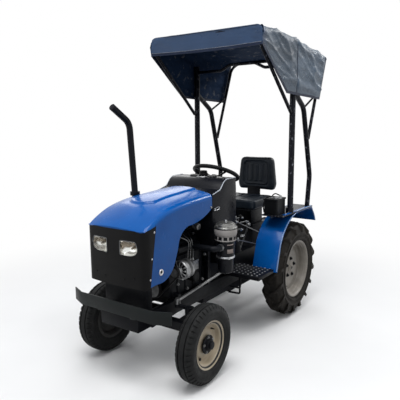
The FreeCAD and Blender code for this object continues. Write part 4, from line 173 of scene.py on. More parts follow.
def rubber(slot, name, dark, light, rough):
    """Tyre rubber with dust in its grain."""
    mat, tree, bsdf = shader(name)
    feed(tree, bsdf, {
        "Base Color": cloud(tree, (14.0, 8.0, 0.7), (0.32, dark), (0.6, light), (0.8, times(light, 1.35))),
        "Roughness": cloud(tree, (40.0, 4.0), (0.3, rough - 0.1), (0.8, rough + 0.12)),
        "Normal": bump(tree, grain_of(tree, 220.0, 5.0), 0.22, 0.001),
        "Specular IOR Level": 0.15})
    return slot, mat


def metal(slot, name, dark, light, rough):
    mat, tree, bsdf = shader(name)
    feed(tree, bsdf, {
        "Base Color": cloud(tree, (30.0, 6.0, 0.6), (0.3, dark), (0.7, light)),
        "Roughness": cloud(tree, (120.0, 4.0, 0.6), (0.3, rough - 0.08), (0.75, rough + 0.14)),
        "Normal": bump(tree, grain_of(tree, 260.0, 3.0, 0.5), 0.08, 0.0006),
        "Metallic": 1.0})
    return slot, mat


def vinyl(slot, name, dark, light):
    """Grained vinyl: small pores, soft shine on the high places."""
    mat, tree, bsdf = shader(name)
    place_in = add(tree, "TexCoord", {})["Object"]
    pores = add(tree, "TexVoronoi", {"Vector": place_in, "Scale": 340.0})["Distance"]
    feed(tree, bsdf, {
        "Base Color": cloud(tree, (10.0, 5.0), (0.3, dark), (0.7, light)),
        "Roughness": cloud(tree, (18.0, 6.0), (0.3, 0.36), (0.8, 0.55)),
        "Normal": bump(tree, pores, 0.16, 0.0008),
        "Specular IOR Level": 0.18, "Coat Weight": 0.05, "Coat Roughness": 0.3})
    return slot, mat


def canopy_cloth(slot, name, navy, sheen_and_dust_tone, inside_tone, marks):
    """Coated woven cloth: navy in front; roof and flaps in lighter grey-blue patches, painted sky sheen on
    the navy with dust; dark and stained inside.
    """
    mat, tree, bsdf = shader(name)
    pale = times(sheen_and_dust_tone, 1.25)
    long_patches = (6.0, 7.0, 0.65, (1, 0.4, 2.2))
    near = cloud(tree, long_patches, (0.3, times(sheen_and_dust_tone, 0.62)), (0.52, sheen_and_dust_tone), (0.72, pale))
    far = cloud(tree, long_patches, (0.25, times(sheen_and_dust_tone, 0.8)), (0.48, pale), (0.68, times(pale, 1.25)))
    front = cloud(tree, (5.0, 6.0), (0.3, navy), (0.8, times(navy, 1.5)))
    stain = cloud(tree, (15.0, 8.0, 0.74), (0.575, inside_tone), (0.63, marks), (0.70, inside_tone))
    sheen_and_dust_share, inner, _ = in_object(tree, "UV")
    behind = add(tree, "MapRange", {"Value": in_object(tree)["Y"], "From Min": SEAM_Y - 0.004,
                                    "From Max": SEAM_Y + 0.004})[0]
    # Roof and flaps: painted sky sheen with dust over the navy; the valance keeps the plain navy.
    outside = mixed(tree, sheen_and_dust_share, front, mixed(tree, behind, near, far))
    waves = {"Vector": add(tree, "TexCoord", {})["Object"], "Scale": 180.0, "Distortion": 0.4}
    threads = [add(tree, "TexWave", waves, bands_direction=direction)["Fac"] for direction in "XY"]
    weave = add(tree, "Math", {0: threads[0], 1: threads[1]}, operation="ADD")[0]
    crumple = add(tree, "Math", {0: grain_of(tree, 24.0, 5.0, 0.6, (1, 0.45, 1.3)), 1: 9.0, 2: weave},
                  operation="MULTIPLY_ADD")[0]
    feed(tree, bsdf, {
        "Base Color": mixed(tree, inner, outside, stain),
        "Roughness": mixed(tree, inner, cloud(tree, (12.0, 5.0), (0.3, 0.26), (0.8, 0.46)),
                           cloud(tree, (12.0, 5.0), (0.3, 0.70), (0.8, 0.85))),
        "Normal": bump(tree, crumple, 0.35, 0.0010),
        "Specular IOR Level": add(tree, "MapRange", {"Value": inner, "To Min": 0.34, "To Max": 0.05})[0]})
    return slot, mat


def reflector(slot, name, dull, bright):
    """Polished lamp bowl whose colour carries painted reflection: a bright painted highlight towards its foot
    and at its rim, dull and brownish above.
    """
    mat, tree, bsdf = shader(name)
    ripple = grain_of(tree, 26.0, 2.0, 0.4, (1, 1, 0.5))
    wave = add(tree, "Math", {0: ripple, 1: 0.05, 2: in_object(tree)["Z"]}, operation="MULTIPLY_ADD")[0]
    level = add(tree, "MapRange", {"Value": wave, "From Min": LAMP_LOW_Z, "From Max": LAMP_LOW_Z + 0.12})[0]
    # The colour ramp by height paints the bowl's highlight: bright bands low and at the top, a dull brownish
    # band between.
    feed(tree, bsdf, {
        "Base Color": ramp(tree, level, [(0.25, bright), (0.48, times(bright, 0.9)), (0.56, dull),
                                         (0.80, times(dull, 0.6)), (0.95, bright)]),
        "Roughness": cloud(tree, (9.0, 2.0), (0.3, 0.16), (0.8, 0.24)),
        "Metallic": 0.75})
    return slot, mat


def lens(slot, name):
    mat, tree, bsdf = shader(name)
    feed(tree, bsdf, {
        "Base Color": cloud(tree, (40.0,), (0.3, (0.93, 0.95, 0.96)), (0.8, (0.98, 0.98, 0.98))),
        "Roughness": cloud(tree, (30.0,), (0.3, 0.02), (0.8, 0.06)),
        "Transmission Weight": 1.0, "IOR": 1.12})
    return slot, mat


# Each finish is the slot it fills and the material that shows there.
BLUE = paint("body_blue", "hood_enamel", (0.0010, 0.068, 0.280), (0.0018, 0.088, 0.345), 0.22, 0.12, 30.0,
             0.004, 0.12)
# A lighter blue for the fender's edge bead: painted highlight along the rolled edge.
BEAD_PAINTED_HIGHLIGHT = paint("body_blue", "fender_bead", (0.10, 0.20, 0.42), (0.18, 0.30, 0.52), 0.3, 0.3)
MASK = paint("mask_black", "mask_satin", (0.0030, 0.0030, 0.0034), (0.0060, 0.0058, 0.0060), 0.46, 0.0,
             150.0, 0.04, 0.10)
BLACK = paint("chassis_black", "chassis_paint", (0.0018, 0.0022, 0.0034), (0.0046, 0.0052, 0.0072), 0.44,
              0.0, 110.0, 0.05, 0.10)
GLOSS_BLACK = paint("console_black", "console_paint", (0.0026, 0.0032, 0.0052), (0.0060, 0.0068, 0.0100),
                    0.30, 0.0, 24.0, 0.01, 0.14)
CAST = paint("engine_black", "engine_casting", (0.0016, 0.0022, 0.0036), (0.0054, 0.0064, 0.0092), 0.48,
             0.0, 160.0, 0.22, 0.12)
BUMPER = paint("bumper_grey", "bumper_paint", (0.0085, 0.0110, 0.0112), (0.0130, 0.0155, 0.0156), 0.44,
               0.0, 90.0, 0.04, 0.14)
PLASTIC = paint("plastic_black", "black_plastic", (0.0028, 0.0032, 0.0040), (0.0068, 0.0074, 0.0086), 0.48,
                0.0, 200.0, 0.06, 0.12)
PALE_PLATE = paint("cleaner_finish", "blank_pale_plate", (0.25, 0.235, 0.225), (0.40, 0.375, 0.36), 0.45)
TAG = paint("cleaner_finish", "blank_tag", (0.30, 0.22, 0.20), (0.46, 0.38, 0.35), 0.5)
WORN_DOT = paint("bare_steel", "worn_plate_dots", (0.099, 0.105, 0.112), (0.384, 0.391, 0.397), 0.4)
LAMP_TRIM = paint("mask_black", "lamp_trim", (0.060, 0.064, 0.070), (0.110, 0.115, 0.120), 0.4)
PALE_EDGE = paint("console_black", "worn_pale_edge", (0.30, 0.33, 0.38), (0.46, 0.50, 0.56), 0.35)
EDGE_TAPE = paint("canopy_cloth", "roof_edge_tape", (0.006, 0.011, 0.028), (0.014, 0.022, 0.046), 0.5,
                  0.0, 300.0, 0.15, 0.14)
STITCH = paint("canopy_cloth", "pale_stitches", (0.22, 0.24, 0.28), (0.34, 0.36, 0.40), 0.6)
POST = scuffed("post_black", "post_paint", (0.0022, 0.0028, 0.0056), (0.0056, 0.0064, 0.0110),
               (0.20, 0.21, 0.24), 0.34, 0.575, 0.10)
PIPE_BLACK = scuffed("exhaust_black", "exhaust_paint", (0.0022, 0.0028, 0.0050), (0.0055, 0.0062, 0.0095),
                     (0.05, 0.05, 0.06), 0.40, 0.68, 0.12)
CREAM = scuffed("rim_cream", "rim_cream_enamel", (0.42, 0.350, 0.250), (0.60, 0.520, 0.400),
                (0.18, 0.14, 0.10), 0.36, 0.66, 0.3)
RIM_GREY = scuffed("rim_grey", "rim_grey_enamel", (0.19, 0.172, 0.148), (0.31, 0.285, 0.25),
                   (0.09, 0.07, 0.05), 0.42, 0.66)
# A dark grey rim finish: painted shade for the side of a rim that lies in the wheel's shadow.
SHADED_RIM = scuffed("rim_grey", "rim_inner_painted_shade", (0.030, 0.030, 0.030), (0.062, 0.060, 0.056),
                     (0.12, 0.11, 0.10), 0.6, 0.64, 0.3)
RUBBER = rubber("tyre_rubber", "tyre_rubber_dusty", (0.0062, 0.0068, 0.0074), (0.0165, 0.0168, 0.0168), 0.66)
FIELD_RUBBER = rubber("tyre_rubber", "rear_rubber_dusty", (0.0085, 0.0078, 0.0068),
                      (0.0230, 0.0200, 0.0170), 0.7)
BELT = rubber("belt_and_pulleys", "belt_rubber", (0.0050, 0.0050, 0.0055), (0.0110, 0.0110, 0.0115), 0.6)
STEEL = metal("bare_steel", "zinc_steel", (0.36, 0.37, 0.39), (0.56, 0.57, 0.58), 0.32)
DULL_STEEL = metal("bare_steel", "worn_steel", (0.11, 0.115, 0.12), (0.26, 0.26, 0.26), 0.42)
ALUMINIUM = metal("bare_aluminium", "cast_aluminium", (0.17, 0.175, 0.18), (0.38, 0.385, 0.39), 0.40)
GALVANISED = metal("cleaner_finish", "galvanised_sheet", (0.15, 0.15, 0.145), (0.32, 0.32, 0.31), 0.36)
VINYL = vinyl("seat_vinyl", "seat_vinyl_black", (0.0030, 0.0062, 0.0105), (0.0075, 0.0125, 0.0200))
# The lamp bowl's colours include a bright painted highlight.
REFLECTOR = reflector("lamp_glass", "lamp_reflector", (0.24, 0.20, 0.15), (0.93, 0.92, 0.88))
LENS = lens("lamp_glass", "lamp_lens")
# The lighter grey-blue for roof and flaps is painted sky sheen on the navy cloth, with dust.
CLOTH = canopy_cloth("canopy_cloth", "roof_cloth", (0.0125, 0.0350, 0.0840), (0.050, 0.079, 0.116),
                     (0.0160, 0.0340, 0.0760), (0.20, 0.21, 0.23))



# ================================================================ making pieces
def shade(obj, angle=35.0):
    for polygon in obj.data.polygons:
        polygon.use_smooth = True
    obj.data.set_sharp_from_angle(angle=math.radians(angle))


def link_object(name, data):
    obj = bpy.data.objects.new(name, data)
    bpy.context.scene.collection.objects.link(obj)
    return obj


@contextmanager
def edited(data):
    """A mesh opened for editing and written back afterwards."""
    made = bmesh.new()
    made.from_mesh(data)
    yield made
    made.to_mesh(data)
    made.free()


def mesh_piece(name, points, faces, angle=35.0):
    data = bpy.data.meshes.new(name)
    data.from_pydata([tuple(p) for p in points], [], faces)
    data.validate()
    with edited(data) as made:
        bmesh.ops.recalc_face_normals(made, faces=made.faces)
    obj = link_object(name, data)
    shade(obj, angle)
    return obj


def apply_modifiers(obj):
    graph = bpy.context.evaluated_depsgraph_get()
    data = bpy.data.meshes.new_from_object(obj.evaluated_get(graph))
    obj.modifiers.clear()
    obj.data = data


def modified(obj, angle, kind, **settings):
    """The piece with a modifier applied, shaded anew by angle."""
    change = obj.modifiers.new("change", kind)
    for key, value in settings.items():
        setattr(change, key, value)
    apply_modifiers(obj)
    shade(obj, angle)
    return obj


def bevelled(obj, width, segments=2, angle=35.0):
    return modified(obj, 40.0, "BEVEL", width=width, segments=segments, limit_method="ANGLE",
                    angle_limit=math.radians(angle))


def thickened(obj, thick, angle=40.0, offset=-1.0):
    return modified(obj, angle, "SOLIDIFY", thickness=thick, offset=offset)


def welded(obj, distance=1e-5):
    with edited(obj.data) as made:
        bmesh.ops.remove_doubles(made, verts=made.verts, dist=distance)
        bmesh.ops.dissolve_degenerate(made, edges=made.edges, dist=1e-6)
        bmesh.ops.recalc_face_normals(made, faces=made.faces)
    shade(obj, 30.0)
    return obj


def place(obj, finish, body="chassis", replaces=()):
    """Gives a piece its finish and body, and the CAD nodes it stands for."""
    slot, material = finish
    obj.data.materials.clear()
    obj.data.materials.append(material)
    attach(obj, body)
    if replaces:
        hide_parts(*replaces)
    return obj


def on_slot(slot, finish):
    """A finish's material on another slot."""
    return slot, finish[1]


def around(count, start=0.0):
    """(cosine, sine) at even steps round a circle."""
    turns = [start + TURN * k / count for k in range(count)]
    return [(math.cos(turn), math.sin(turn)) for turn in turns]


def steps_to(a, b, count):
    """The places after a on the way to b, in even steps."""
    return [a + (b - a) * k / count for k in range(1, count + 1)]


def level_at(line, along):
    """Height of a line of (along, height) points at a place."""
    along = max(along, line[0][0])
    for (y0, z0), (y1, z1) in zip(line, line[1:]):
        if along <= y1:
            return z0 + (z1 - z0) * (along - y0) / (y1 - y0)
    return line[-1][1]


def skin(rows, count, ring=False, loop=False, start=0):
    """Faces between rows of points: ring joins the last row to the first, loop each row's two ends."""
    faces = []
    for row in range(rows if ring else rows - 1):
        a = start + row * count
        b = start + (row + 1) % rows * count
        for k in range(count if loop else count - 1):
            nxt = (k + 1) % count
            faces.append((a + k, a + nxt, b + nxt, b + k))
    return faces


def frame_axes(axis):
    axis = Vector(axis).normalized()
    u = axis.cross(Z if abs(axis.z) < 0.9 else X).normalized()
    return u, axis.cross(u).normalized(), axis


def revolved(name, rows, centre, axes, closed):
    """A turned form from rows of (turn, profile)."""
    u, w, axis = axes
    points = []
    for turn, profile in rows:
        out = u * math.cos(turn) + w * math.sin(turn)
        points += [Vector(centre) + out * (radius * MM) + axis * (along * MM) for radius, along in profile]
    return welded(mesh_piece(name, points, skin(len(rows), len(rows[0][1]), True, closed), 30.0))


def lathe(name, profile, centre, axis=X, steps=64, closed=False):
    """Turns a profile about an axis."""
    rows = [(TURN * step / steps, profile) for step in range(steps)]
    return revolved(name, rows, centre, frame_axes(axis), closed)


def turned(finish, name, profile, centre, axis=X, steps=64, closed=False, body="chassis", replaces=()):
    return place(lathe(name, profile, centre, axis, steps, closed), finish, body, replaces)


def prism(name, outline, start, depth, axis, bevel, segments=2):
    """Extrudes an outline, whose pairs are (x, z) along Y and (x, y) along Z."""
    cut = "XYZ".index(axis)
    points = [(*pair[:cut], level, *pair[cut:]) for level in (start, start + depth) for pair in outline]
    count = len(outline)
    faces = [tuple(range(count)), tuple(range(2 * count - 1, count - 1, -1))] + skin(2, count, loop=True)
    return bevelled(mesh_piece(name, points, faces), bevel, segments)


def block(name, low, high, bevel):
    outline = [(low[0], low[1]), (high[0], low[1]), (high[0], high[1]), (low[0], high[1])]
    return prism(name, outline, low[2], high[2] - low[2], "Z", bevel)


def sided_block(name, side, low, high, bevel):
    """A block given by its inner and outer corner on the left side, made on either side."""
    xs = sorted((side * low[0], side * high[0]))
    return block(name, (xs[0], *low[1:]), (xs[1], *high[1:]), bevel)


def corner_points(before, corner, after, radius, share, steps):
    """Points that round the corner between two runs."""
    back = before - corner
    on = after - corner
    reach = min(radius, back.length * share, on.length * share)
    start = corner + back.normalized() * reach
    end = corner + on.normalized() * reach
    shares = [step / steps for step in range(steps + 1)]
    return [start * (1 - t) ** 2 + corner * 2 * t * (1 - t) + end * t ** 2 for t in shares]


def smooth_route(points, radius):
    points = [Vector(p) for p in points]
    route = points[:1]
    for before, corner, after in zip(points, points[1:], points[2:]):
        route += corner_points(before, corner, after, radius, 0.45, 6)
    return route + points[-1:]


def rounded_loop(points, radius, steps=5):
    points = [Vector(p) for p in points]
    loop = []
    for before, corner, after in zip(points[-1:] + points, points, points[1:] + points[:1]):
        loop += corner_points(before, corner, after, radius, 0.4, steps)
    return loop


def tube(name, points, radius, corner=0.03, sides=20, caps=True):
    """A round bar or pipe along smoothed runs."""
    route = smooth_route(points, corner)
    made = []
    side = None
    for index, spot in enumerate(route):
        run = (route[min(index + 1, len(route) - 1)] - route[max(index - 1, 0)]).normalized()
        if side is None:
            side = run.orthogonal().normalized()
        side = (side - run * side.dot(run)).normalized()
        other = run.cross(side)
        made += [spot + (side * c + other * s) * radius for c, s in around(sides)]
    faces = skin(len(route), sides, loop=True)
    if caps:
        faces += [tuple(range(sides - 1, -1, -1)), tuple(range(len(made) - sides, len(made)))]
    return mesh_piece(name, made, faces)


def join(name, objs):
    """Joins meshes that share one material and body."""
    made = bmesh.new()
    for obj in objs:
        made.from_mesh(obj.data)
    data = bpy.data.meshes.new(name)
    made.to_mesh(data)
    made.free()
    for obj in objs:
        bpy.data.objects.remove(obj)
    joined = link_object(name, data)
    shade(joined)
    return joined


def bolt_heads(name, spots, axis, radius, height):
    """Six-sided bolt heads on washers, measured in millimetres."""
    u, w, axis = frame_axes(axis)
    washer = [(0, 0), (radius * 1.5, 0), (radius * 1.5, height * 0.3), (0, height * 0.3)]
    made = []
    for spot in spots:
        ring = [Vector(spot) + (u * c + w * s) * (radius * MM) for c, s in around(6)]
        points = ring + [p + axis * (height * MM) for p in ring]
        faces = [tuple(range(5, -1, -1)), tuple(range(6, 12))] + skin(2, 6, loop=True)
        made.append(bevelled(mesh_piece(name + "_head", points, faces), radius * MM * 0.12, 1))
        made.append(lathe(name + "_washer", washer, spot, axis, 20))
    return join(name, made)


def softened(node, finish, width=1.5, angle=35.0):
    """A CAD solid's shape again with edges rounded by a width in millimetres, standing for its node."""
    source = frame["nodes"][node]
    obj = link_object(node + "_body", source.data.copy())
    with edited(obj.data) as made:
        bmesh.ops.remove_doubles(made, verts=made.verts, dist=1e-5)
        bmesh.ops.dissolve_limit(made, angle_limit=math.radians(1.0), verts=made.verts, edges=made.edges)
    bevelled(obj, width * MM, 2, angle)
    shade(obj, angle)
    return place(obj, finish, body_of(source)[0], [node])


# ================================================================ hood and mask skins
HOOD_REAR_Y = -0.369
HOOD_HALF = 0.235
SHOULDER_R = 0.034
ROUND_LEN = SHOULDER_R * math.pi / 2
FLAT_HALF = HOOD_HALF - SHOULDER_R
CROWN = 0.024
SHOULDER_LINE = [(-1.090, 0.950), (-1.050, 0.986), (-0.985, 1.026), (-0.891, 1.066), (-0.776, 1.092),
                 (-0.621, 1.109), (-0.369, 1.122)]
MASK_FRONT_Y = -1.068
MASK_CORNER = Vector((0.198, -1.056))
MASK_SIDE_Y = -1.004
MASK_LOW_Z = 0.643
MASK_TOP_Z = 0.985
MASK_BROW_Y = -1.040
EDGE_TOP = Vector((-0.955, 1.007))
EDGE_LOW = Vector((-1.015, 0.653))
PANEL_HALF = 0.097
PANEL_NOSE_R = 0.1191
PANEL_TURN_Y = -0.850 + PANEL_NOSE_R
PANEL_RISE = 0.009
PANEL_SLOPE = 0.006
SKIN = 0.004
SEAM = 0.0006


def curve_through(points, per):
    """A Catmull-Rom line through (y, z) points."""
    pts = [Vector(p) for p in points]
    line = []
    for a, b, c, d in zip(pts[:1] + pts, pts, pts[1:], pts[2:] + pts[-1:]):
        for t in (step / per for step in range(per)):
            line.append(0.5 * ((2 * b) + (c - a) * t + (2 * a - 5 * b + 4 * c - d) * t ** 2
                               + (3 * b - a - 3 * c + d) * t ** 3))
    return line + pts[-1:]


def arc_through(a, b, c, count):
    """Points on the circle through three plan points."""
    (ax, ay), (bx, by), (cx, cy) = (Vector(p) for p in (a, b, c))
    a2, b2, c2 = ax * ax + ay * ay, bx * bx + by * by, cx * cx + cy * cy
    d = 2 * (ax * (by - cy) + bx * (cy - ay) + cx * (ay - by))
    ux = (a2 * (by - cy) + b2 * (cy - ay) + c2 * (ay - by)) / d
    uy = (a2 * (cx - bx) + b2 * (ax - cx) + c2 * (bx - ax)) / d
    start = math.atan2(ay - uy, ax - ux)
    mid = (math.atan2(by - uy, bx - ux) - start) % TURN
    sweep = (math.atan2(cy - uy, cx - ux) - start) % TURN
    if mid > sweep:
        sweep -= TURN
    radius = math.hypot(ax - ux, ay - uy)
    turns = [start + sweep * k / count for k in range(count + 1)]
    return [Vector((ux, uy)) + Vector((math.cos(t), math.sin(t))) * radius for t in turns]


def plan_line():
    """Half of the plan outline, from the middle of the front round to the side."""
    front = arc_through((-MASK_CORNER.x, MASK_CORNER.y), (0, MASK_FRONT_Y), MASK_CORNER, 40)[20:]
    share = math.sqrt(0.5)
    mid = (MASK_CORNER.x + (HOOD_HALF - MASK_CORNER.x) * share,
           MASK_SIDE_Y - (MASK_SIDE_Y - MASK_CORNER.y) * share)
    return front + arc_through(MASK_CORNER, mid, (HOOD_HALF, MASK_SIDE_Y), 12)[1:]


SHOULDER_CURVE = curve_through(SHOULDER_LINE, 8)
PLAN = plan_line()
PLAN_RUNS = [0.0]
for plan_spot, plan_next in zip(PLAN, PLAN[1:]):
    PLAN_RUNS.append(PLAN_RUNS[-1] + (plan_next - plan_spot).length)
PLAN_LENGTH = PLAN_RUNS[-1]
PLAN_X = [(run, p.x) for run, p in zip(PLAN_RUNS, PLAN)]
PLAN_Y = [(run, p.y) for run, p in zip(PLAN_RUNS, PLAN)]


def shoulder_z(y):
    return level_at(SHOULDER_CURVE, y)


def plan_y(x):
    return level_at(PLAN, abs(x))


def section_point(s, y):
    """A point on the hood's skin: s runs from the middle line out over the shoulder and down the side."""
    run = abs(s)
    turn = min(max((run - FLAT_HALF) / SHOULDER_R, 0.0), math.pi / 2)
    x = min(run, FLAT_HALF) + SHOULDER_R * math.sin(turn)
    z = shoulder_z(y) + CROWN * max(1 - (run / FLAT_HALF) ** 2, 0.0)
    z -= SHOULDER_R * (1 - math.cos(turn)) + max(run - FLAT_HALF - ROUND_LEN, 0.0)
    return Vector((math.copysign(x, s), y, z))


def side_s(y, z):
    """How far along the hood's section a height on its side lies."""
    drop = shoulder_z(y) - z
    if drop < SHOULDER_R:
        return FLAT_HALF + SHOULDER_R * math.acos(1 - max(drop, 0.0) / SHOULDER_R)
    return FLAT_HALF + ROUND_LEN + drop - SHOULDER_R


def seam_z(y):
    """Height of the seam between hood and mask: level across the front, rising along the side."""
    return MASK_TOP_Z + (EDGE_TOP.y - MASK_TOP_Z) * max(y - MASK_BROW_Y, 0.0) / (EDGE_TOP.x - MASK_BROW_Y)


def side_panel_line():
    """The side panel's lower edge in side view, from the mask's foot to the hood's rear."""
    line = arc_through((-0.915, 0.655), (-0.838, 0.682), (-0.785, 0.748), 14)
    line += arc_through((-0.750, 0.830), (-0.716, 0.908), (-0.640, 0.950), 14)
    return line + arc_through((-0.640, 0.950), (-0.490, 0.970), (HOOD_REAR_Y, 1.023), 14)[1:]


def rise(x, y):
    """How far the raised middle panel stands over the hood at a place."""
    nose = math.hypot(x, y - PANEL_TURN_Y) - PANEL_NOSE_R if y < PANEL_TURN_Y else -1.0
    t = min(max((PANEL_SLOPE - max(abs(x) - PANEL_HALF, nose)) / (2 * PANEL_SLOPE), 0.0), 1.0)
    return PANEL_RISE * t * t * (3 - 2 * t)


def panel_line(grow):
    """The raised panel's outline in plan, grown by a distance."""
    radius = PANEL_NOSE_R + grow
    reach = math.asin((PANEL_HALF + grow) / radius)
    turns = [reach * k / 10 for k in range(-10, 11)]
    nose = [(radius * math.sin(turn), PANEL_TURN_Y - radius * math.cos(turn)) for turn in turns]
    rear = HOOD_REAR_Y - 0.001
    (left_x, left_y), (right_x, right_y) = nose[0], nose[-1]
    left = [(left_x, rear + (left_y - rear) * k / 40) for k in range(40)]
    return left + nose + [(right_x, y) for y in steps_to(right_y, rear, 40)]


def inside(point, loop):
    x, y = point
    hit = False
    for (x0, y0), (x1, y1) in zip(loop, loop[1:] + loop[:1]):
        if (y0 > y) != (y1 > y) and x < (x1 - x0) * (y - y0) / (y1 - y0) + x0:
            hit = not hit
    return hit


def facing_out(obj):
    """Turns an open sheet's normals away from the tractor's middle."""
    centre = Vector((0, -0.6, 0.7))
    if sum((p.center - centre).dot(p.normal) * p.area for p in obj.data.polygons) < 0:
        obj.data.flip_normals()


def patch(name, loop, holes, step, place_point, creases=()):
    """A curved sheet cut to an outline: the outline and holes are drawn flat, then laid on the surface."""
    def kept(spot):
        return inside(spot, loop) and not any(inside(spot, hole) for hole in holes)
    flat = []
    edges = []
    for line in [loop] + holes:
        edges += [(len(flat) + k, len(flat) + (k + 1) % len(line)) for k in range(len(line))]
        flat += line
    for line in creases:
        edges += [(len(flat) + k, len(flat) + k + 1) for k in range(len(line) - 1)]
        flat += line
    rim = list(flat)
    low_x, low_y = (min(values) for values in zip(*loop))
    high_x, high_y = (max(values) for values in zip(*loop))
    for i in range(int((high_x - low_x) / step[0]) + 1):
        for j in range(int((high_y - low_y) / step[1]) + 1):
            x, y = low_x + (i + 0.5) * step[0], low_y + (j + 0.5) * step[1]
            if kept((x, y)) and min((x - p[0]) ** 2 + (y - p[1]) ** 2 for p in rim) > (0.35 * min(step)) ** 2:
                flat.append((x, y))
    flat = [Vector(p) for p in flat]
    points, _, faces, _, _, _ = geometry.delaunay_2d_cdt(flat, edges, [], 1, 1e-6)
    middles = [sum((points[k] for k in face), Vector((0, 0))) / len(face) for face in faces]
    faces = [tuple(face) for face, middle in zip(faces, middles) if kept(middle)]
    obj = mesh_piece(name, [place_point(p[0], p[1]) for p in points], faces, 40.0)
    with edited(obj.data) as made:
        bmesh.ops.delete(made, geom=[v for v in made.verts if not v.link_faces], context="VERTS")
    facing_out(obj)
    return obj


def resampled(points, step):
    """The same outline with points no further apart than step, and none on top of each other."""
    kept = []
    for p in points:
        if not kept or (Vector(p) - kept[-1]).length > 2e-4:
            kept.append(Vector(p))
    out = []
    for a, b in zip(kept, kept[1:] + kept[:1]):
        count = max(1, int((b - a).length / step))
        out += [tuple(a + (b - a) * k / count) for k in range(count)]
    return out


def hood_piece():
    def on_hood(s, y):
        spot = section_point(s, y)
        if abs(s) <= FLAT_HALF:
            spot.z += rise(spot.x, y)
        return spot
    lip = []
    for plan in PLAN:
        if plan.y <= MASK_BROW_Y:
            turn = math.asin(min(max((plan.x - FLAT_HALF) / SHOULDER_R, 0.0), 1.0))
            lip.append((min(plan.x, FLAT_HALF) + SHOULDER_R * turn, plan.y))
    half = lip + [(side_s(y, seam_z(y)), y) for y in steps_to(MASK_BROW_Y, EDGE_TOP.x, 12)]
    half += [(side_s(p.x, p.y), p.x) for p in steps_to(EDGE_TOP, EDGE_LOW, 30) + side_panel_line()]
    loop = resampled(half + [(-s, y) for s, y in reversed(half[1:])], 0.010)
    creases = [panel_line(PANEL_SLOPE * share) for share in (-1.0, -0.4, 0.4, 1.0)]
    hood = patch("hood_enamelled_skin", loop, [], (0.0095, 0.0115), on_hood, creases)
    front = [on_hood(s, y) for s, y in lip]
    front = [Vector((-p.x, p.y, p.z)) for p in reversed(front[1:])] + front
    points = front + [Vector((p.x, p.y, MASK_TOP_Z + 0.0004)) for p in front]
    hood = join("hood_enamelled_skin", [hood, mesh_piece("hood_lip", points, skin(2, len(front)))])
    facing_out(welded(hood, 2e-4))
    thickened(bevelled(hood, 0.005, 3, 40.0), SKIN)
    place(hood, BLUE, "hood", ["hood_shell"])


def wall_point(a, z):
    """A point on the mask's upright wall: a runs along its plan outline from the middle of the front."""
    run = abs(a)
    y = level_at(PLAN_Y, run) + max(run - PLAN_LENGTH, 0.0)
    return Vector((math.copysign(level_at(PLAN_X, run), a), y, z))


def mask_point(a, z):
    """A point on the mask: its wall, drawn in to the hood's round shoulder near the top."""
    spot = wall_point(a, z)
    drop = shoulder_z(spot.y) - z
    if abs(spot.x) > FLAT_HALF and 0 < drop < SHOULDER_R:
        reach = FLAT_HALF + SHOULDER_R * math.sin(math.acos(1 - drop / SHOULDER_R))
        spot.x = math.copysign(min(abs(spot.x), reach), spot.x)
    return spot


def along_mask(x):
    """How far along the plan outline a front point at x lies."""
    return math.copysign(level_at([(reach, run) for run, reach in PLAN_X], abs(x)), x)


def mask_piece():
    back = PLAN_LENGTH - MASK_SIDE_Y - SEAM
    half = [(run, seam_z(y) - SEAM) for run, y in PLAN_Y]
    half += [(back + y, seam_z(y) - SEAM) for y in steps_to(MASK_SIDE_Y, EDGE_TOP.x, 6)]
    half += [(back + p.x, p.y - SEAM) for p in steps_to(EDGE_TOP, EDGE_LOW, 24)]
    half += [(back + EDGE_LOW.x, MASK_LOW_Z)]
    loop = resampled(half + [(0.0, MASK_LOW_Z)] + [(-a, z) for a, z in reversed(half[1:])], 0.014)
    holes = [[(along_mask(side * p.x), p.y) for p in rounded_loop(LAMP, 0.012)] for side in SIDES.values()]
    mask = patch("mask_front_sheet", loop, holes, (0.012, 0.014), mask_point)
    place(thickened(mask, SKIN * 0.8), MASK, "hood", ["front_mask"])



# ================================================================ wheels
def front_tyre_profile(notched):
    """Three ribs, notched shoulders, raised rings on the walls; half is mirrored to the other side."""
    cut = 5.5 if notched else 0.0
    half = [(138, 44), (150, 46.5), (156, 52), (162, 56), (166.5, 57.2), (170, 56.6), (176, 59.8),
            (190, 62.8), (203, 63.6), (205.2, 62.4), (211, 61.8), (212.8, 59.6), (220, 56),
            (223.5 - cut * 0.6, 53.2), (233 - cut, 49.2 - cut * 0.6), (239.5 - cut, 45.2 - cut * 0.6),
            (244 - cut, 39.5 - cut * 0.4), (245.8 - cut * 0.3, 33), (246.4, 26.2), (245.2, 24.7),
            (238.4, 23.6), (237.8, 22.2), (237.8, 19.2), (238.6, 17.8), (246.2, 16.6), (247.4, 15),
            (247.9, 6)]
    return half + [(radius, -along) for radius, along in reversed(half)]


def mirrored(spot):
    return Vector((-spot.x, spot.y, spot.z))


def sided(profile, side):
    return [(radius, along * side) for radius, along in profile]


def wheel(kind, hand, steps, rim, hub, bolts, hole_spot, hole):
    """The rim, hub, bolts and valve hole of a wheel; rim and hub are a finish and a form."""
    side = SIDES[hand]
    body = kind + "_wheel_" + hand
    low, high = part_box(kind + "_tyre_left")
    centre = (low + high) / 2
    centre.x *= side
    shell = turned(rim[0], body + "_rim_steel", sided(rim[1], side), centre, X, steps, True, body,
                   [kind + "_rim_" + hand])
    # The rim's inner side gets painted shade.
    paint_shade_on_inner_face(shell, side, centre)
    turned(hub[0], body + "_hub", sided(hub[1], side), centre, body=body)
    name, finish, out, reach, start, size = bolts
    spots = [centre + Vector((side * out, reach * c, reach * s)) for c, s in around(5, start)]
    place(bolt_heads(body + name, spots, X * side, *size), finish, body)
    turned(BLACK, body + "_valve_hole", hole, centre + Vector(hole_spot), X * side, 24, body=body)
    return body, side, centre


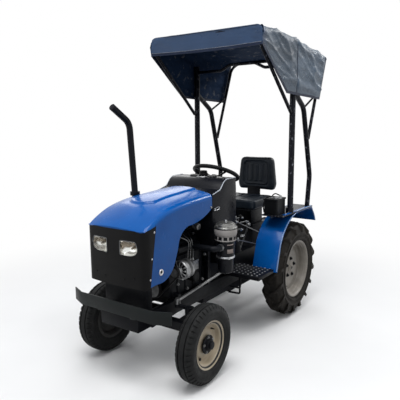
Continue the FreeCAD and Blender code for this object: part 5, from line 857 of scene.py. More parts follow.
def paint_shade_on_inner_face(shell, side, centre):
    """The side of a rim that faces the tractor is dull and dark grey: painted shade, standing for the shadow
    inside the wheel.
    """
    shell.data.materials.append(SHADED_RIM[1])
    for polygon in shell.data.polygons:
        turned_in = polygon.normal.x * side < -0.2
        behind_disc = (polygon.center.x - centre.x) * side < -0.012
        polygon.material_index = 1 if turned_in or behind_disc else 0


def front_wheel(hand):
    rim = [(134, -47), (154, -48), (156, -45.5), (153.5, -43.5), (142, -42.5), (135, -39), (129, -20),
           (128.5, 30), (133, 39), (141, 42.5), (153, 43.5), (155.8, 45.5), (154.5, 47.8), (150, 48.2),
           (144, 47), (140, 44), (138.5, 40), (133, 37.2), (126.2, 34), (124, 28), (123.2, 10), (119, 1),
           (112, -3), (102, -2.5), (92, 3), (82, 8.5), (70, 10), (40, 10.5), (40, 4.5), (70, 4), (84, 1),
           (94, -5), (103, -9), (113, -9), (121, -5), (124.5, -20), (129, -40)]
    hub = [(0, 62), (18, 62), (24, 60), (25.8, 56), (25.8, 49), (29, 48), (33, 46), (35.5, 42), (36, 36),
           (37.5, 33), (56, 31), (59, 28.5), (59, 22), (40, 21.8), (36, 10), (36, -44), (34, -45.8),
           (20, -45.8)]
    body, side, centre = wheel("front", hand, 96, (CREAM, rim), (BLACK, hub),
                               ("_hub_bolts", DULL_STEEL, 0.0305, 0.0475, 0.4, (6.5, 8)), (0, -0.062, -0.078),
                               [(0, 13.2), (8.5, 13.2), (9.5, 12), (9.5, 8)])
    notches = [(0.0, 0), (0.06, 1), (0.26, 1), (0.32, 0), (0.66, 0)]
    rows = [(TURN * (k + share) / 44, front_tyre_profile(flag)) for k in range(44) for share, flag in notches]
    tyre = revolved(body + "_tyre_rubber", rows, centre, (Y, Z, X), True)
    place(tyre, RUBBER, body, ["front_tyre_" + hand])
    turned(on_slot("tyre_rubber", BELT), body + "_valve", [(0, 34), (2.8, 34), (3.4, 31), (3.4, 22),
                                                           (5, 20), (5.5, 8)],
           centre + Vector((0, 0.062, 0.078)), X * side, 20, body=body)


def rear_wheel(hand):
    rim = [(230, -70), (235, -70.6), (235.8, -66), (231, -64), (220, -60), (214, -50), (212, -20),
           (212, 30), (216, 48), (222, 60), (231, 64), (235.6, 66), (235.2, 70.2), (230, 70.6), (224, 69),
           (221, 64), (217.5, 61), (215, 56), (213.8, 50), (209, 47), (206.8, 42), (205.8, 33), (202, 29),
           (200.8, 24), (200, 8), (196, 0), (189, -3), (178, -1), (166, 4.5), (150, 7), (118, 7.8),
           (112, 6), (60, 6), (60, -8), (118, -8), (166, -8), (180, -11), (196, -11), (205, -6), (207, -30),
           (214, -56)]
    hub = [(0, 24), (20, 24), (25, 22), (26, 17), (34, 16), (40, 14), (41, 9), (60, 8), (61.5, 5),
           (61.5, -90), (0, -90)]
    body, side, centre = wheel("rear", hand, 120, (RIM_GREY, rim), (RIM_GREY, hub),
                               ("_wheel_bolts", BLACK, 0.0062, 0.075, 0.2, (10.5, 16)), (0, -0.060, -0.152),
                               [(0, 9.2), (8, 9.2), (9, 8)])
    softened("rear_tyre_" + hand, FIELD_RUBBER, 3.5, 30.0)
    ring = [(248, 80), (254, 82.2), (260, 84), (264, 84.5), (266, 83.5), (260, 78)]
    for number, (grow, reach) in enumerate([(0, 0), (40, 1.2)]):
        band = [(radius + grow, along + reach) for radius, along in ring]
        turned(FIELD_RUBBER, body + "_wall_ring" + str(number), sided(band, side), centre, X, 120, True, body)
    turned(BLACK, body + "_hub_plug", [(0, 0), (12, 0), (12.5, -1.5)], centre + X * side * 0.0248,
           X * side, 24, body=body)


# ================================================================ lamps
def headlamp(hand):
    side = SIDES[hand]
    ring = rounded_loop(LAMP, 0.012)
    centre = sum(ring, Vector((0, 0))) / len(ring)
    ring = [centre + (p - centre) * 0.985 for p in ring]

    def dished(name, levels, angle, follows):
        """A dish from (size, depth) levels on the mask's curve at the ring, or at each of its own places."""
        points = []
        for grow, deep in levels:
            for p in ring:
                spot = centre + (p - centre) * grow
                points.append((side * spot.x, plan_y((spot if follows else p).x) + deep, spot.y))
        count = len(ring)
        faces = skin(len(levels), count, loop=True) + [tuple(range(len(points) - count, len(points)))]
        return mesh_piece(name + hand, points, faces, angle)
    bends = [(math.cos(turn), math.sin(turn)) for turn in (math.pi / 2 * k / 12 for k in range(1, 12))]
    levels = [(1.0, 0.0015), (1.0, 0.0090)] + [(c * 0.96 + 0.02, 0.0090 + 0.040 * s) for c, s in bends]
    bowl = thickened(dished("headlamp_reflector_", levels, 50.0, False), 0.0015, 80.0, 0.0)
    place(bowl, REFLECTOR, "hood", ["headlamps"] if side > 0 else [])
    levels = ((1.0, 0.0005), (0.985, -0.0012), (0.90, -0.0026), (0.5, -0.0040))
    place(thickened(dished("headlamp_lens_", levels, 60.0, True), 0.002, 60.0), LENS, "hood")
    edge = []
    for p in ring + ring[:1]:
        spot = centre + (p - centre) * 1.02
        edge.append((side * spot.x, plan_y(spot.x) - 0.0012, spot.y))
    place(tube("headlamp_seal_" + hand, edge, 0.0024, 0.0, 8, False), LAMP_TRIM, "hood")
    turned(REFLECTOR, "headlamp_bulb_" + hand, [(0, 0), (6, 1.5), (8.5, 6), (8.5, 18), (11, 22), (16, 30)],
           (side * centre.x, plan_y(centre.x) + 0.017, centre.y), Y, 32, body="hood")


# ================================================================ roof cloth
CLOTH_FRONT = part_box("canopy_cover")[0].y
CLOTH_HALF, CLOTH_REAR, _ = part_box("canopy_cover")[1]
CLOTH_ROUND = 0.046
FLAT_CLOTH = CLOTH_HALF - CLOTH_ROUND
ROOF_LINE = [(CLOTH_FRONT, 2.2173), (0.240, 2.2233), (CLOTH_REAR, 2.1533)]
FLAP_LINE = [(CLOTH_FRONT, 2.0877), (0.265, 1.795), (0.920, 1.775), (CLOTH_REAR, 2.1190)]
DROP_Z = FLAP_LINE[0][1]
SAG_HALF = 0.44
HEM_WIDTH = 0.020
HEM_THICK = 0.0026


def clamped(value, low=0.0, high=1.0):
    return min(max(value, low), high)


def noise_at(*spot):
    return noise.noise(Vector(spot))


def fold(spot, lean, long_scale, cross_scale, seed):
    """A ridge-like fold pattern on the flaps: long one way, narrow across, leaning down towards the rear."""
    along = spot.y * math.cos(lean) - spot.z * math.sin(lean)
    over = spot.y * math.sin(lean) + spot.z * math.cos(lean)
    bend = 0.020 * noise_at(along * 5.0, over * 3.0, seed)
    ridge = 1 - 2.2 * abs(noise_at(along * long_scale, (over + bend) * cross_scale, spot.x * 2.0 + seed))
    return max(ridge, 0.0) ** 2


def cloth_shift(spot, out):
    """Wrinkles and sag of the roof cloth at a place, along its outward direction."""
    coarse = Vector((spot.x * 5.0, spot.y * 3.2, spot.z * 4.0))
    depth = -0.0020 + 0.0030 * noise.noise(coarse + Vector((7.3, 1.9, 4.2)))
    if abs(out.x) > 0.5:
        folds = 0.012 * fold(spot, 0.16, 2.0, 8.0, 1.3) + 0.006 * fold(spot, 0.42, 3.0, 13.0, 6.1)
        folds += 0.0026 * fold(spot, -0.35, 6.0, 20.0, 3.7)
        seam = 0.7 * math.exp(-((spot.y - SEAM_Y) / 0.012) ** 2)
        hem = clamped((CLOTH_REAR - 0.01 - spot.y) / 0.08, 0.1)
        hem *= clamped((spot.z - level_at(FLAP_LINE, spot.y)) / 0.07, 0.15)
        depth = clamped(depth + folds * (1 - seam) * hem, -0.0022, 0.015)
    if out.z > 0.5:
        span = clamped((spot.y - CLOTH_FRONT) / (CLOTH_REAR - CLOTH_FRONT))
        over = abs(spot.x) / SAG_HALF
        depth -= 0.011 * math.sin(math.pi * span) * max(0.0, 1 - over ** 2)
        across = noise_at(spot.x * 7.0 + 3.0, spot.y * 9.0, 1.7)
        depth += 0.0035 * across + 0.004 * over ** 4 * (fold(spot, 0.2, 3.0, 16.0, 2.2) - 0.5)
    return out * depth


def cloth_point(spot, out, lift=0.0):
    return spot + cloth_shift(spot, out) + out * lift


def flap_spot(side, y, z):
    return Vector((side * CLOTH_HALF, y, z))


def roof_section(y, side_rows, arc_steps, top_columns):
    """(place, outward) across the roof from the left flap's hem over the top to the right one."""
    top = level_at(ROOF_LINE, y)
    low = level_at(FLAP_LINE, y)
    half = [(flap_spot(1, y, low + (top - CLOTH_ROUND - low) * k / side_rows), X) for k in range(side_rows)]
    for k in range(arc_steps):
        turn = math.pi / 2 * k / arc_steps
        out = Vector((math.cos(turn), 0, math.sin(turn)))
        half.append((Vector((FLAT_CLOTH, y, top - CLOTH_ROUND)) + out * CLOTH_ROUND, out))
    half += [(Vector((FLAT_CLOTH * (1 - k / top_columns), y, top)), Z) for k in range(top_columns + 1)]
    return half + [(mirrored(spot), mirrored(out)) for spot, out in reversed(half[:-1])]


def front_spot(x, z, share):
    """A place on the valance, which hangs in slow folds, deeper towards its lower edge."""
    wave = noise_at(x * 11.0, 3.1, z * 5.0)
    slow = noise_at(x * 4.0, 8.4, z * 3.0)
    edge = max(0.0, 1 - (abs(x) / CLOTH_HALF) ** 6)
    gather = max(0.0, (abs(x) - 0.30) / 0.12) * max(0.0, 1 - abs(share - 0.75) * 2.4)
    crumple = max(1 - 2 * abs(noise_at(x * 16.0 + z * 22.0, 5.5, z * 30.0 - x * 9.0)), 0.0)
    ripple = 0.0035 + (0.004 * wave + 0.005 * slow) * (1 - 0.75 * share) * edge - 0.006 * gather * crumple
    drop = Z * (-0.009 * (1 - share) * max(0.0, 1 - (x / CLOTH_HALF) ** 2))
    return Vector((x, CLOTH_FRONT, z)) + (drop + Y * ripple)


def canopy_sheet():
    side_rows = 30
    length = CLOTH_REAR - CLOTH_FRONT
    rows = [roof_section(CLOTH_FRONT + length * k / 120, side_rows, 6, 30) for k in range(121)]
    points = [cloth_point(spot, out) for row in rows for spot, out in row]
    faces = skin(len(rows), len(rows[0]))
    columns = rows[0][side_rows:len(rows[0]) - side_rows]
    faces += skin(side_rows + 1, len(columns), start=len(points))
    for share in (level / side_rows for level in range(side_rows + 1)):
        points += [front_spot(spot.x, DROP_Z + (spot.z - DROP_Z) * share, share) for spot, _ in columns]
    obj = mesh_piece("canopy_cloth_sheet", points, faces, 60.0)
    with edited(obj.data) as made:
        bmesh.ops.remove_doubles(made, verts=made.verts, dist=0.003)
        for _ in range(6):
            nose = [v for v in made.verts if not v.is_boundary and v.co.y < CLOTH_FRONT + 0.045]
            bmesh.ops.smooth_vert(made, verts=nose, factor=0.5, use_axis_x=True, use_axis_y=True,
                                  use_axis_z=True)
        bmesh.ops.recalc_face_normals(made, faces=made.faces)
    thickened(obj, 0.0026, 50.0)
    layer = obj.data.uv_layers.new(name="side")
    for polygon in obj.data.polygons:
        inner = 1.0 if (polygon.center - Vector((0, 0.46, 1.9))).dot(polygon.normal) < 0 else 0.0
        # The first UV value marks the roof and flaps, whose colour carries painted sky sheen with dust.
        sheen_and_dust_share = clamped((polygon.center.y - CLOTH_FRONT - 0.010) / 0.06)
        for loop in polygon.loop_indices:
            layer.data[loop].uv = (sheen_and_dust_share, inner)
    return place(obj, CLOTH, replaces=["canopy_cover"])


def strip(spots, out, across, width, thick):
    """A flat band along a run of places; across is one direction or one for each place."""
    points = []
    for spot, over in zip(spots, across if isinstance(across, list) else [across] * len(spots)):
        for p in (spot, spot + over * width):
            points += [p + out * thick, p - out * thick]
    last = len(points) - 4
    faces = []
    for a in range(0, last, 4):
        faces += [(a + i, a + j, a + 4 + j, a + 4 + i) for i, j in ((0, 2), (2, 3), (3, 1), (1, 0))]
    faces += [(0, 1, 3, 2), (last, last + 2, last + 3, last + 1)]
    return mesh_piece("strip", points, faces, 40.0)


def canopy_hems():
    run = []
    for a, b in zip(FLAP_LINE, FLAP_LINE[1:]):
        run += [(a[0] + (b[0] - a[0]) * k / 24, a[1] + (b[1] - a[1]) * k / 24) for k in range(24)]
    run.append(FLAP_LINE[-1])
    upward = []
    for before, after in zip(run[:1] + run, run[1:] + run[-1:]):
        along = (Vector(after) - Vector(before)).normalized()
        upward.append(Vector((0, -along.y, along.x)) * (1 if along.x >= 0 else -1))
    hems = []
    for side in SIDES.values():
        spots = [cloth_point(flap_spot(side, y, z), X * side, -0.0013) for y, z in run]
        hems.append(strip(spots, X * side, upward, HEM_WIDTH, HEM_THICK))
    shares = [k / 40 - 1 for k in range(81)]
    spots = [front_spot(CLOTH_HALF * share, DROP_Z, 0) + Y * 0.0013 for share in shares]
    hems.append(strip(spots, -Y, Z, HEM_WIDTH, HEM_THICK))
    rear_z = level_at(ROOF_LINE, CLOTH_REAR) - 0.0035
    spots = [Vector((FLAT_CLOTH * share, CLOTH_REAR - 0.001, rear_z)) for share in shares]
    hems.append(strip(spots, Z, -Y, HEM_WIDTH, HEM_THICK))
    low = level_at(FLAP_LINE, SEAM_Y)
    high = level_at(ROOF_LINE, SEAM_Y) - CLOTH_ROUND
    for side in SIDES.values():
        heights = [low + (high - low) * k / 30 for k in range(31)]
        spots = [cloth_point(flap_spot(side, SEAM_Y, z), X * side, 0.0006) for z in heights]
        hems.append(strip(spots, X * side, Y, 0.012, 0.0012))
    return place(join("canopy_hem_tape", hems), EDGE_TAPE)


def canopy_stitches():
    """Pale stitches along the valance's hem and the flaps' front hems."""
    ends = []
    for k in range(72):
        spot = front_spot(CLOTH_HALF * 0.98 * ((k + 0.5) / 36 - 1), DROP_Z, 0) + Z * 0.019 - Y * 0.0022
        ends.append((spot - X * 0.0045, spot + X * 0.0045))
    (y0, z0), (y1, z1) = FLAP_LINE[:2]
    along = Vector((0, y1 - y0, z1 - z0)).normalized() * 0.0045
    for side in SIDES.values():
        for share in ((k + 0.5) / 26 for k in range(26)):
            spot = flap_spot(side, y0 + (y1 - y0) * share + 0.012, z0 + (z1 - z0) * share + 0.016)
            spot = cloth_point(spot, X * side, 0.0016)
            ends.append((spot - along, spot + along))
    dashes = [tube("stitch", pair, 0.0012, 0.0, 6) for pair in ends]
    return place(join("canopy_stitches", dashes), STITCH)


def canopy():
    cloth = canopy_sheet()
    pieces = [canopy_hems(), canopy_stitches()]
    over = 2 * FLAT_CLOTH + math.pi * CLOTH_ROUND
    length = CLOTH_REAR - CLOTH_FRONT
    front_drop = ROOF_LINE[0][1] - DROP_Z
    # The cloth's flat area: over the roof and down both flaps along its length, and the valance.
    area = over * front_drop
    for y in (CLOTH_FRONT + length * (k + 0.5) / 60 for k in range(60)):
        flap = level_at(ROOF_LINE, y) - CLOTH_ROUND - level_at(FLAP_LINE, y)
        area += (over + 2 * flap) * length / 60
    turned(on_slot("post_black", PLASTIC), "canopy_bar_knob", [(0, 0), (12, 0), (15, 3), (15, 12), (12, 16),
                                                               (0, 17)],
           (-0.456, -0.108, 2.105), -X, 32)



# ================================================================ seat
def puffed(obj, cap):
    """Blows the form up a little as stuffed vinyl, and keeps every point within cap of where it was."""
    modified(obj, 60.0, "REMESH", mode="VOXEL", voxel_size=0.006)
    rest = [v.co.copy() for v in obj.data.vertices]
    cloth = obj.modifiers.new("stuffing", "CLOTH")
    cloth.settings.use_pressure = True
    cloth.settings.uniform_pressure_force = 4.0
    cloth.settings.effector_weights.gravity = 0.0
    cloth.point_cache.frame_start = 1
    cloth.point_cache.frame_end = 20
    for number in range(1, 21):
        bpy.context.scene.frame_set(number)
    apply_modifiers(obj)
    bpy.context.scene.frame_set(1)
    for vertex, start in zip(obj.data.vertices, rest):
        move = vertex.co - start
        if move.length > cap:
            vertex.co = start + move.normalized() * cap
    modified(obj, 60.0, "SMOOTH", factor=0.5, iterations=6)
    return modified(obj, 60.0, "SUBSURF", levels=1)


def groove(distance, width, depth):
    """How deep a sewn channel is at a distance from its line."""
    t = min(abs(distance) / width, 1.0)
    return depth * (1 - t * t * (3 - 2 * t))


def box_distance(x, y, half_x, half_y, radius):
    """Signed distance to a rounded rectangle about the origin."""
    qx = abs(x) - (half_x - radius)
    qy = abs(y) - (half_y - radius)
    return math.hypot(max(qx, 0.0), max(qy, 0.0)) + min(max(qx, qy), 0.0) - radius


def seat_pad(node, outline, start, depth, axis, bevel, cap):
    loop = [tuple(p) for p in outline]
    return puffed(prism(node + "_pad", loop, start, depth, axis, bevel, 3), cap)


def placed_pad(pad, replaces=()):
    place(pad, VINYL, replaces=replaces)


def seat_cushion():
    low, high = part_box("seat_cushion")
    half = (high.x - low.x) / 2 - 0.005
    front, rear = low.y + 0.005, high.y - 0.005
    corners = [(-half, front), (half, front), (half * 0.97, rear), (-half * 0.97, rear)]
    outline = rounded_loop(corners, 0.045, 6)
    pad = seat_pad("seat_cushion", outline, low.z + 0.002, high.z - low.z - 0.009, "Z", 0.014, 0.005)
    centre = (low + high) / 2
    for vertex in pad.data.vertices:
        x, y, _ = vertex.co - centre
        if vertex.co.z > low.z + 0.045:
            ring = box_distance(x, y, 0.150, 0.130, 0.050)
            dip = groove(ring, 0.011, 0.008)
            if ring < 0:
                dip = max([dip] + [groove(x - line, 0.010, 0.0065) for line in (-0.050, 0.050)])
            dish = 0.010 * max(0.0, 1 - (x / 0.16) ** 2) * max(0.0, 1 - (y / 0.15) ** 2)
            vertex.co.z -= dip + dish
        vertex.co.z = max(vertex.co.z, low.z + 0.0005)
    placed_pad(pad, ["seat_cushion"])
    path = [(p.x * 1.012, centre.y + (p.y - centre.y) * 1.012, high.z - 0.022) for p in outline]
    placed_pad(tube("seat_cushion_welt", path + path[:1], 0.0032, 0.0, 8, False))


def seat_backrest():
    low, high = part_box("seat_backrest")
    half = (high.x - low.x) / 2 - 0.004
    z0, z1 = low.z + 0.004, high.z - 0.004
    corners = [(-half * 0.90, z0), (half * 0.90, z0), (half, z0 + 0.05), (0.156, z1), (-0.156, z1),
               (-half, z0 + 0.05)]
    outline = rounded_loop(corners, 0.045, 6)
    pad = seat_pad("seat_backrest", outline, low.y + 0.006, high.y - low.y - 0.012, "Y", 0.016, 0.004)
    face = (low.y + high.y) / 2 - 0.008
    for vertex in pad.data.vertices:
        x = vertex.co.x
        z = vertex.co.z - (z0 + z1) / 2
        if vertex.co.y < face:
            ring = box_distance(x, z - 0.002, 0.118 - 0.10 * max(z, 0.0), 0.102, 0.036)
            dip = groove(ring, 0.011, 0.009)
            if ring < 0:
                ribs = abs(z - 0.008) < 0.072
                dip += 0.004 * min(-ring / 0.02, 1.0)
                dip -= 0.009 * ribs * sum(groove(x - line, 0.021, 1.0) for line in (-0.050, 0.0, 0.050))
                seams = [groove(x - line, 0.0085, 0.008) for line in (-0.076, -0.025, 0.025, 0.076)]
                dip = max(dip, ribs * max(seams))
            vertex.co.y += max(dip, -0.003)
    placed_pad(pad, ["seat_backrest"])


# ================================================================ steering wheel and console
def steering_wheel_piece():
    softened("steering_wheel", PLASTIC, 1.2, 40.0)
    turn = [j for j in frame["record"]["behaviour"]["joints"] if j["name"] == "steering_wheel_turn"][0]
    centre = Vector(turn["pos_m"])
    axis = Vector(turn["axis"])
    grip_z = 1.208
    centre += axis * ((grip_z - centre.z) / axis.z)
    grip_r = 15.2
    ring_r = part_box("steering_wheel")[1].x / MM - 15.5
    profile = [(ring_r + grip_r * c, grip_r * s) for c, s in around(16)]
    turned(PLASTIC, "steering_wheel_grip", profile, centre, axis, 96, True, "steering_wheel")


def console_tops():
    """Ribbed boot with its collar on the console, dial faces in the two gauges, and worn edges."""
    spot = (0.0, -0.120, 1.1985)
    turned(PLASTIC, "console_boot", [(0, 46), (20, 46), (26, 44), (27, 40), (24, 38), (30, 34), (26, 30),
                                     (34, 24), (30, 19), (38, 13), (35, 9), (42, 5), (43, 0), (0, 0)],
           spot, Z, 48)
    turned(STEEL, "console_boot_collar", [(40, 0), (52, 0), (53, 3), (50, 6), (42, 8), (40, 6)],
           spot, Z, 48, True)
    edge_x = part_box("dash_console")[1].x - 0.001
    edge = [(-0.361, 1.112), (-0.262, 1.135), (-0.229, 1.176), (-0.190, 1.199), (-0.060, 1.201)]
    for hand, side in SIDES.items():
        spot = (side * 0.078, -0.125, 1.2078)
        turned(DULL_STEEL, "gauge_rim_" + hand, [(28.5, 0), (34.5, 0), (35, 2.5), (32, 4.5), (29, 3.5)],
               spot, Z, 48, True)
        turned(on_slot("plastic_black", GLOSS_BLACK), "gauge_face_" + hand, [(0, 1.6), (29, 1.6), (29, 0)],
               spot, Z, 40)
        ends = [(spot[0] - 0.010, -0.135, 1.2102), (spot[0] + 0.012, -0.110, 1.2102)]
        place(tube("gauge_needle_" + hand, ends, 0.0008, 0.0, 6), on_slot("bare_steel", PALE_PLATE))
        run = [(side * edge_x, y, z) for y, z in edge]
        place(tube("console_edge_trim_" + hand, run, 0.0034, 0.020, 10), PALE_EDGE)


# ================================================================ engine side pieces
def air_cleaner_details():
    centre = Vector((0.320, -0.334, 0))
    for finish, name, steps, profile in (
            (on_slot("cleaner_finish", GLOSS_BLACK), "can", 72,
             [(0, 582), (30, 582), (45, 585), (52, 592), (54.5, 602), (54.5, 682), (57, 686), (59, 690),
              (59, 700), (60, 706), (60, 800), (59, 806), (56, 809), (0, 809)]),
            (STEEL, "clamp", 72, [(59, 690), (62.2, 690.5), (63.6, 693), (63.6, 701), (62.2, 703.5),
                                  (59, 704)]),
            (PALE_PLATE, "bowl", 72, [(0, 807.5), (60, 807.5), (69, 809), (71.6, 812), (71.6, 815),
                                      (70.5, 816.5), (70.5, 842), (73, 845), (76.2, 856), (77.6, 870),
                                      (77.8, 888), (76.5, 892), (70, 893), (0, 893)]),
            (GALVANISED, "cap", 96, [(0, 892.5), (74, 892.5), (77, 894), (78, 896.5), (78, 901),
                                     (76.5, 903), (70, 904), (67.2, 906), (66.5, 912), (65, 919), (61, 922),
                                     (56, 923.5), (54.5, 927), (50, 930), (30, 931.8), (0, 932.5)]),
            (PLASTIC, "seal", 72, [(70, 890), (78.3, 890.5), (78.3, 893.5), (70, 894)]),
            (STEEL, "knob", 32, [(0, 932), (12.5, 932.2), (12.5, 934), (6, 935), (5.8, 939), (8, 940),
                                 (8, 945), (6.6, 946), (0, 946)]),
            (BLACK, "strap_band", 72, [(59.8, 756), (62.5, 756.5), (63, 770), (62.5, 783.5), (59.8, 784)])):
        turned(finish, "air_cleaner_" + name, profile, centre, Z, steps,
               replaces=["air_cleaner"] if name == "can" else [])
    spot = centre + Vector((0.052, -0.040, 0.697))
    place(bolt_heads("air_cleaner_clamp_bolts", [spot], (0.8, -0.6, 0), 5.5, 10), STEEL)
    slots = []
    for c, s in around(12):
        out = Vector((c, s, 0))
        along = Vector((-s, c, 0))
        points = []
        for du, z in ((-0.0125, 0.8185), (0.0125, 0.8185), (0.0125, 0.8405), (-0.0125, 0.8405)):
            points += [centre + out * (0.0690 + deep) + along * du + Z * z for deep in (0.0, 0.0026)]
        faces = [(0, 2, 3, 1), (2, 4, 5, 3), (4, 6, 7, 5), (6, 0, 1, 7), (1, 3, 5, 7), (0, 6, 4, 2)]
        slots.append(bevelled(mesh_piece("window", points, faces), 0.0008, 1))
    place(join("air_cleaner_windows", slots), PLASTIC)
    plate = []
    for z in (0.728, 0.788):
        for turn in (math.radians(-48 + 5.5 * k) for k in range(9)):
            plate.append(centre + Vector((math.cos(turn), math.sin(turn), 0)) * 0.0605 + Z * z)
    label = mesh_piece("air_cleaner_blank_plate", plate, skin(2, 9), 50.0)
    place(thickened(label, 0.0012, 180.0, 0.0), TAG)
    place(block("air_cleaner_strap", (0.235, -0.356, 0.750), (0.266, -0.312, 0.790), 0.003), BLACK)
    place(tube("air_cleaner_neck", [(0.320, -0.408, 0.768), (0.320, -0.388, 0.768)], 0.0240, 0.0, 40), STEEL)


def alternator_details():
    """Slotted end bells with spokes over dark windings, a laminated ring between them, and its bracket."""
    centre = Vector((0.182, 0, 0.658))
    stack = [(60.5, -610)]
    for y in (-611.5 - 2.6 * k for k in range(9)):
        stack += [(61.8, y), (61.8, y - 1.4), (60.8, y - 1.7), (60.8, y - 2.4)]
    stack.append((60.5, -637))
    for finish, name, steps, closed, profile in (
            (ALUMINIUM, "rear_bell", 72, False, [(0, -566.5), (30, -566.5), (44, -569), (56, -576),
                                                 (62.5, -586), (63.8, -598), (63.8, -610), (60, -610.5),
                                                 (0, -610.5)]),
            (DULL_STEEL, "laminations", 72, False, stack),
            (ALUMINIUM, "front_rim", 72, True, [(60, -636), (63.8, -636.5), (64, -656), (62, -664),
                                                (58.5, -669), (54, -670), (53.5, -666), (57.5, -662),
                                                (60, -656)]),
            (ALUMINIUM, "nose", 48, False, [(0, -686), (16, -686), (18.5, -684), (20, -680), (24, -678),
                                            (27, -675), (27, -669), (0, -669)]),
            (BLACK, "windings", 60, False, [(0, -664), (34, -664), (50, -662), (58, -656), (58.5, -637),
                                            (0, -637)]),
            (DULL_STEEL, "shaft", 32, False, [(0, -708), (9, -708), (9, -680), (0, -680)])):
        turned(finish, "alternator_" + name, profile, centre, Y, steps, closed,
               replaces=["alternator"] if name == "rear_bell" else [])
    spokes = []
    for c, s in around(12):
        out = Vector((c, 0, s))
        along = Vector((-s, 0, c))
        run = []
        for reach, y, half in ((0.024, -0.677, 0.0036), (0.040, -0.6745, 0.0042), (0.057, -0.669, 0.0056)):
            for side in (-half, half):
                run += [centre + out * reach + along * side + Y * (y + deep) for deep in (0.0, 0.0065)]
        faces = [(0, 1, 3, 2), (8, 10, 11, 9)]
        for sheet in ((0, 2, 6, 4), (1, 5, 7, 3), (0, 4, 5, 1), (2, 3, 7, 6)):
            faces += [sheet, tuple(k + 4 for k in sheet)]
        spokes.append(bevelled(mesh_piece("spoke", run, faces), 0.0010, 1))
    place(join("alternator_front_spokes", spokes), ALUMINIUM)
    ears = [block("ear", low, high, 0.004) for low, high in (
        ((0.104, -0.652, 0.646), (0.128, -0.594, 0.678)), ((0.150, -0.640, 0.594), (0.206, -0.628, 0.612)),
        ((0.150, -0.600, 0.594), (0.206, -0.588, 0.612)))]
    place(join("alternator_bracket", ears), ALUMINIUM)
    turns = (0.4, 2.0, 3.5, 5.1)
    bolts = [centre + Vector((0.06 * math.cos(turn), -0.6668, 0.06 * math.sin(turn))) for turn in turns]
    place(bolt_heads("alternator_bolts", bolts, -Y, 4.2, 5), STEEL)


def belts():
    softened("belt_drive", BELT, 0.8, 30.0)
    for number, (x, z, radius) in enumerate(((0.182, 0.658, 30), (0.0, 0.520, 58))):
        disc = [(0, -731.5), (radius * 0.30, -731.5), (radius * 0.34, -730.5), (radius * 0.42, -730.2),
                (radius * 0.85, -730.6), (radius, -730.2)]
        turned(on_slot("belt_and_pulleys", DULL_STEEL), "pulley_face" + str(number), disc, (x, 0, z), Y, 48)


def mask_screws():
    """Small pale screws along the mask's side edges, and dark ones at its foot."""
    for hand, side in SIDES.items():
        spots = []
        for z, back in ((0.972, 0.012), (0.820, 0.012), (0.700, 0.010)):
            y = EDGE_LOW.x + (EDGE_TOP.x - EDGE_LOW.x) * (z - EDGE_LOW.y) / (EDGE_TOP.y - EDGE_LOW.y)
            spots.append(mask_point(side * (PLAN_LENGTH + y - back - MASK_SIDE_Y), z))
        place(bolt_heads("mask_side_screws_" + hand, spots, X * side, 4.2, 2.8), STEEL, "hood")
    front = [mask_point(a, z) for a, z in ((-0.150, 0.705), (-0.075, 0.690), (0.075, 0.690), (0.150, 0.705))]
    place(bolt_heads("mask_foot_screws", front, -Y, 4, 2.8), MASK, "hood")


def latches():
    """The ring near each side panel's toe, and the wire catch at the hood's lower rear corners."""
    for hand, side in SIDES.items():
        spot = (side * (HOOD_HALF + 0.0001), -0.919, 0.722)
        turned(STEEL, "side_latch_ring_" + hand, [(10, 0), (18.5, 0), (19.5, 1.2), (18, 3.4), (12, 3.4),
                                                  (10, 1.4)],
               spot, X * side, 48, True, "hood")
        turned(on_slot("mask_black", PLASTIC), "side_latch_core_" + hand, [(0, 2.6), (5, 2.6), (6, 1.4),
                                                                           (10.2, 1.2), (10.2, 0)],
               spot, X * side, 32, body="hood")
        x = HOOD_HALF + 0.004
        wire = [(x, -0.352, 1.012), (x + 0.004, -0.318, 1.022), (x + 0.004, -0.290, 1.020),
                (x + 0.004, -0.286, 1.008), (x + 0.004, -0.316, 1.004), (x, -0.352, 1.003)]
        loop = tube("catch_wire_" + hand, [(side * a, b, c) for a, b, c in wire], 0.0018, 0.010, 8)
        place(loop, STEEL)
        low, high = (x - 0.005, -0.358, 0.994), (x, -0.336, 1.020)
        place(sided_block("catch_plate_" + hand, side, low, high, 0.001), BLACK)
        turned(DULL_STEEL, "catch_button_" + hand, [(0, 8), (5, 8), (7, 6), (7.5, 0), (0, 0)],
               (side * HOOD_HALF, -0.384, 1.030), X * side, 24, body="hood")


def fender_edges():
    """The rolled bead along each fender's outer edge, in a lighter blue that paints its highlight, and the
    blue strip beside the roof plate.
    """
    crown = 0.880
    knee = (0.223, 0.674)
    reach = 0.560 - knee[0]
    drop = crown - knee[1]
    radius = (reach ** 2 + drop ** 2) / (2 * drop)
    half_turn = math.asin(reach / radius) / 2
    shoulder = (0.560 - radius * math.sin(half_turn), crown - radius * (1 - math.cos(half_turn)))
    line = [(0.1635, 0.478)] + arc_through(knee, shoulder, (0.560, crown), 16)
    line += arc_through((0.808, crown), (0.880, 0.820), (0.922, 0.750), 16)
    for hand, side in SIDES.items():
        run = [(side * 0.4652, y, z + 0.0085 if 0.50 < y < 0.845 else z) for y, z in line]
        # The bead's lighter blue paints its highlight.
        place(tube("fender_bead_" + hand, run, 0.0048, 0.02, 12), BEAD_PAINTED_HIGHLIGHT)
        low, high = (0.440, 0.300, 0.8875), (0.466, 0.842, 0.8896)
        place(sided_block("fender_top_strip_" + hand, side, low, high, 0.0008), BLUE)


def fittings(finish, name, profile, spots, axis, steps):
    """Turned pieces of one form at several places, joined."""
    place(join(name, [lathe(name, profile, spot, axis, steps) for spot in spots]), finish)


def bars(finish, name, runs, radius, corner=0.04):
    place(join(name, [tube(name, run, radius, corner, 12) for run in runs]), finish)


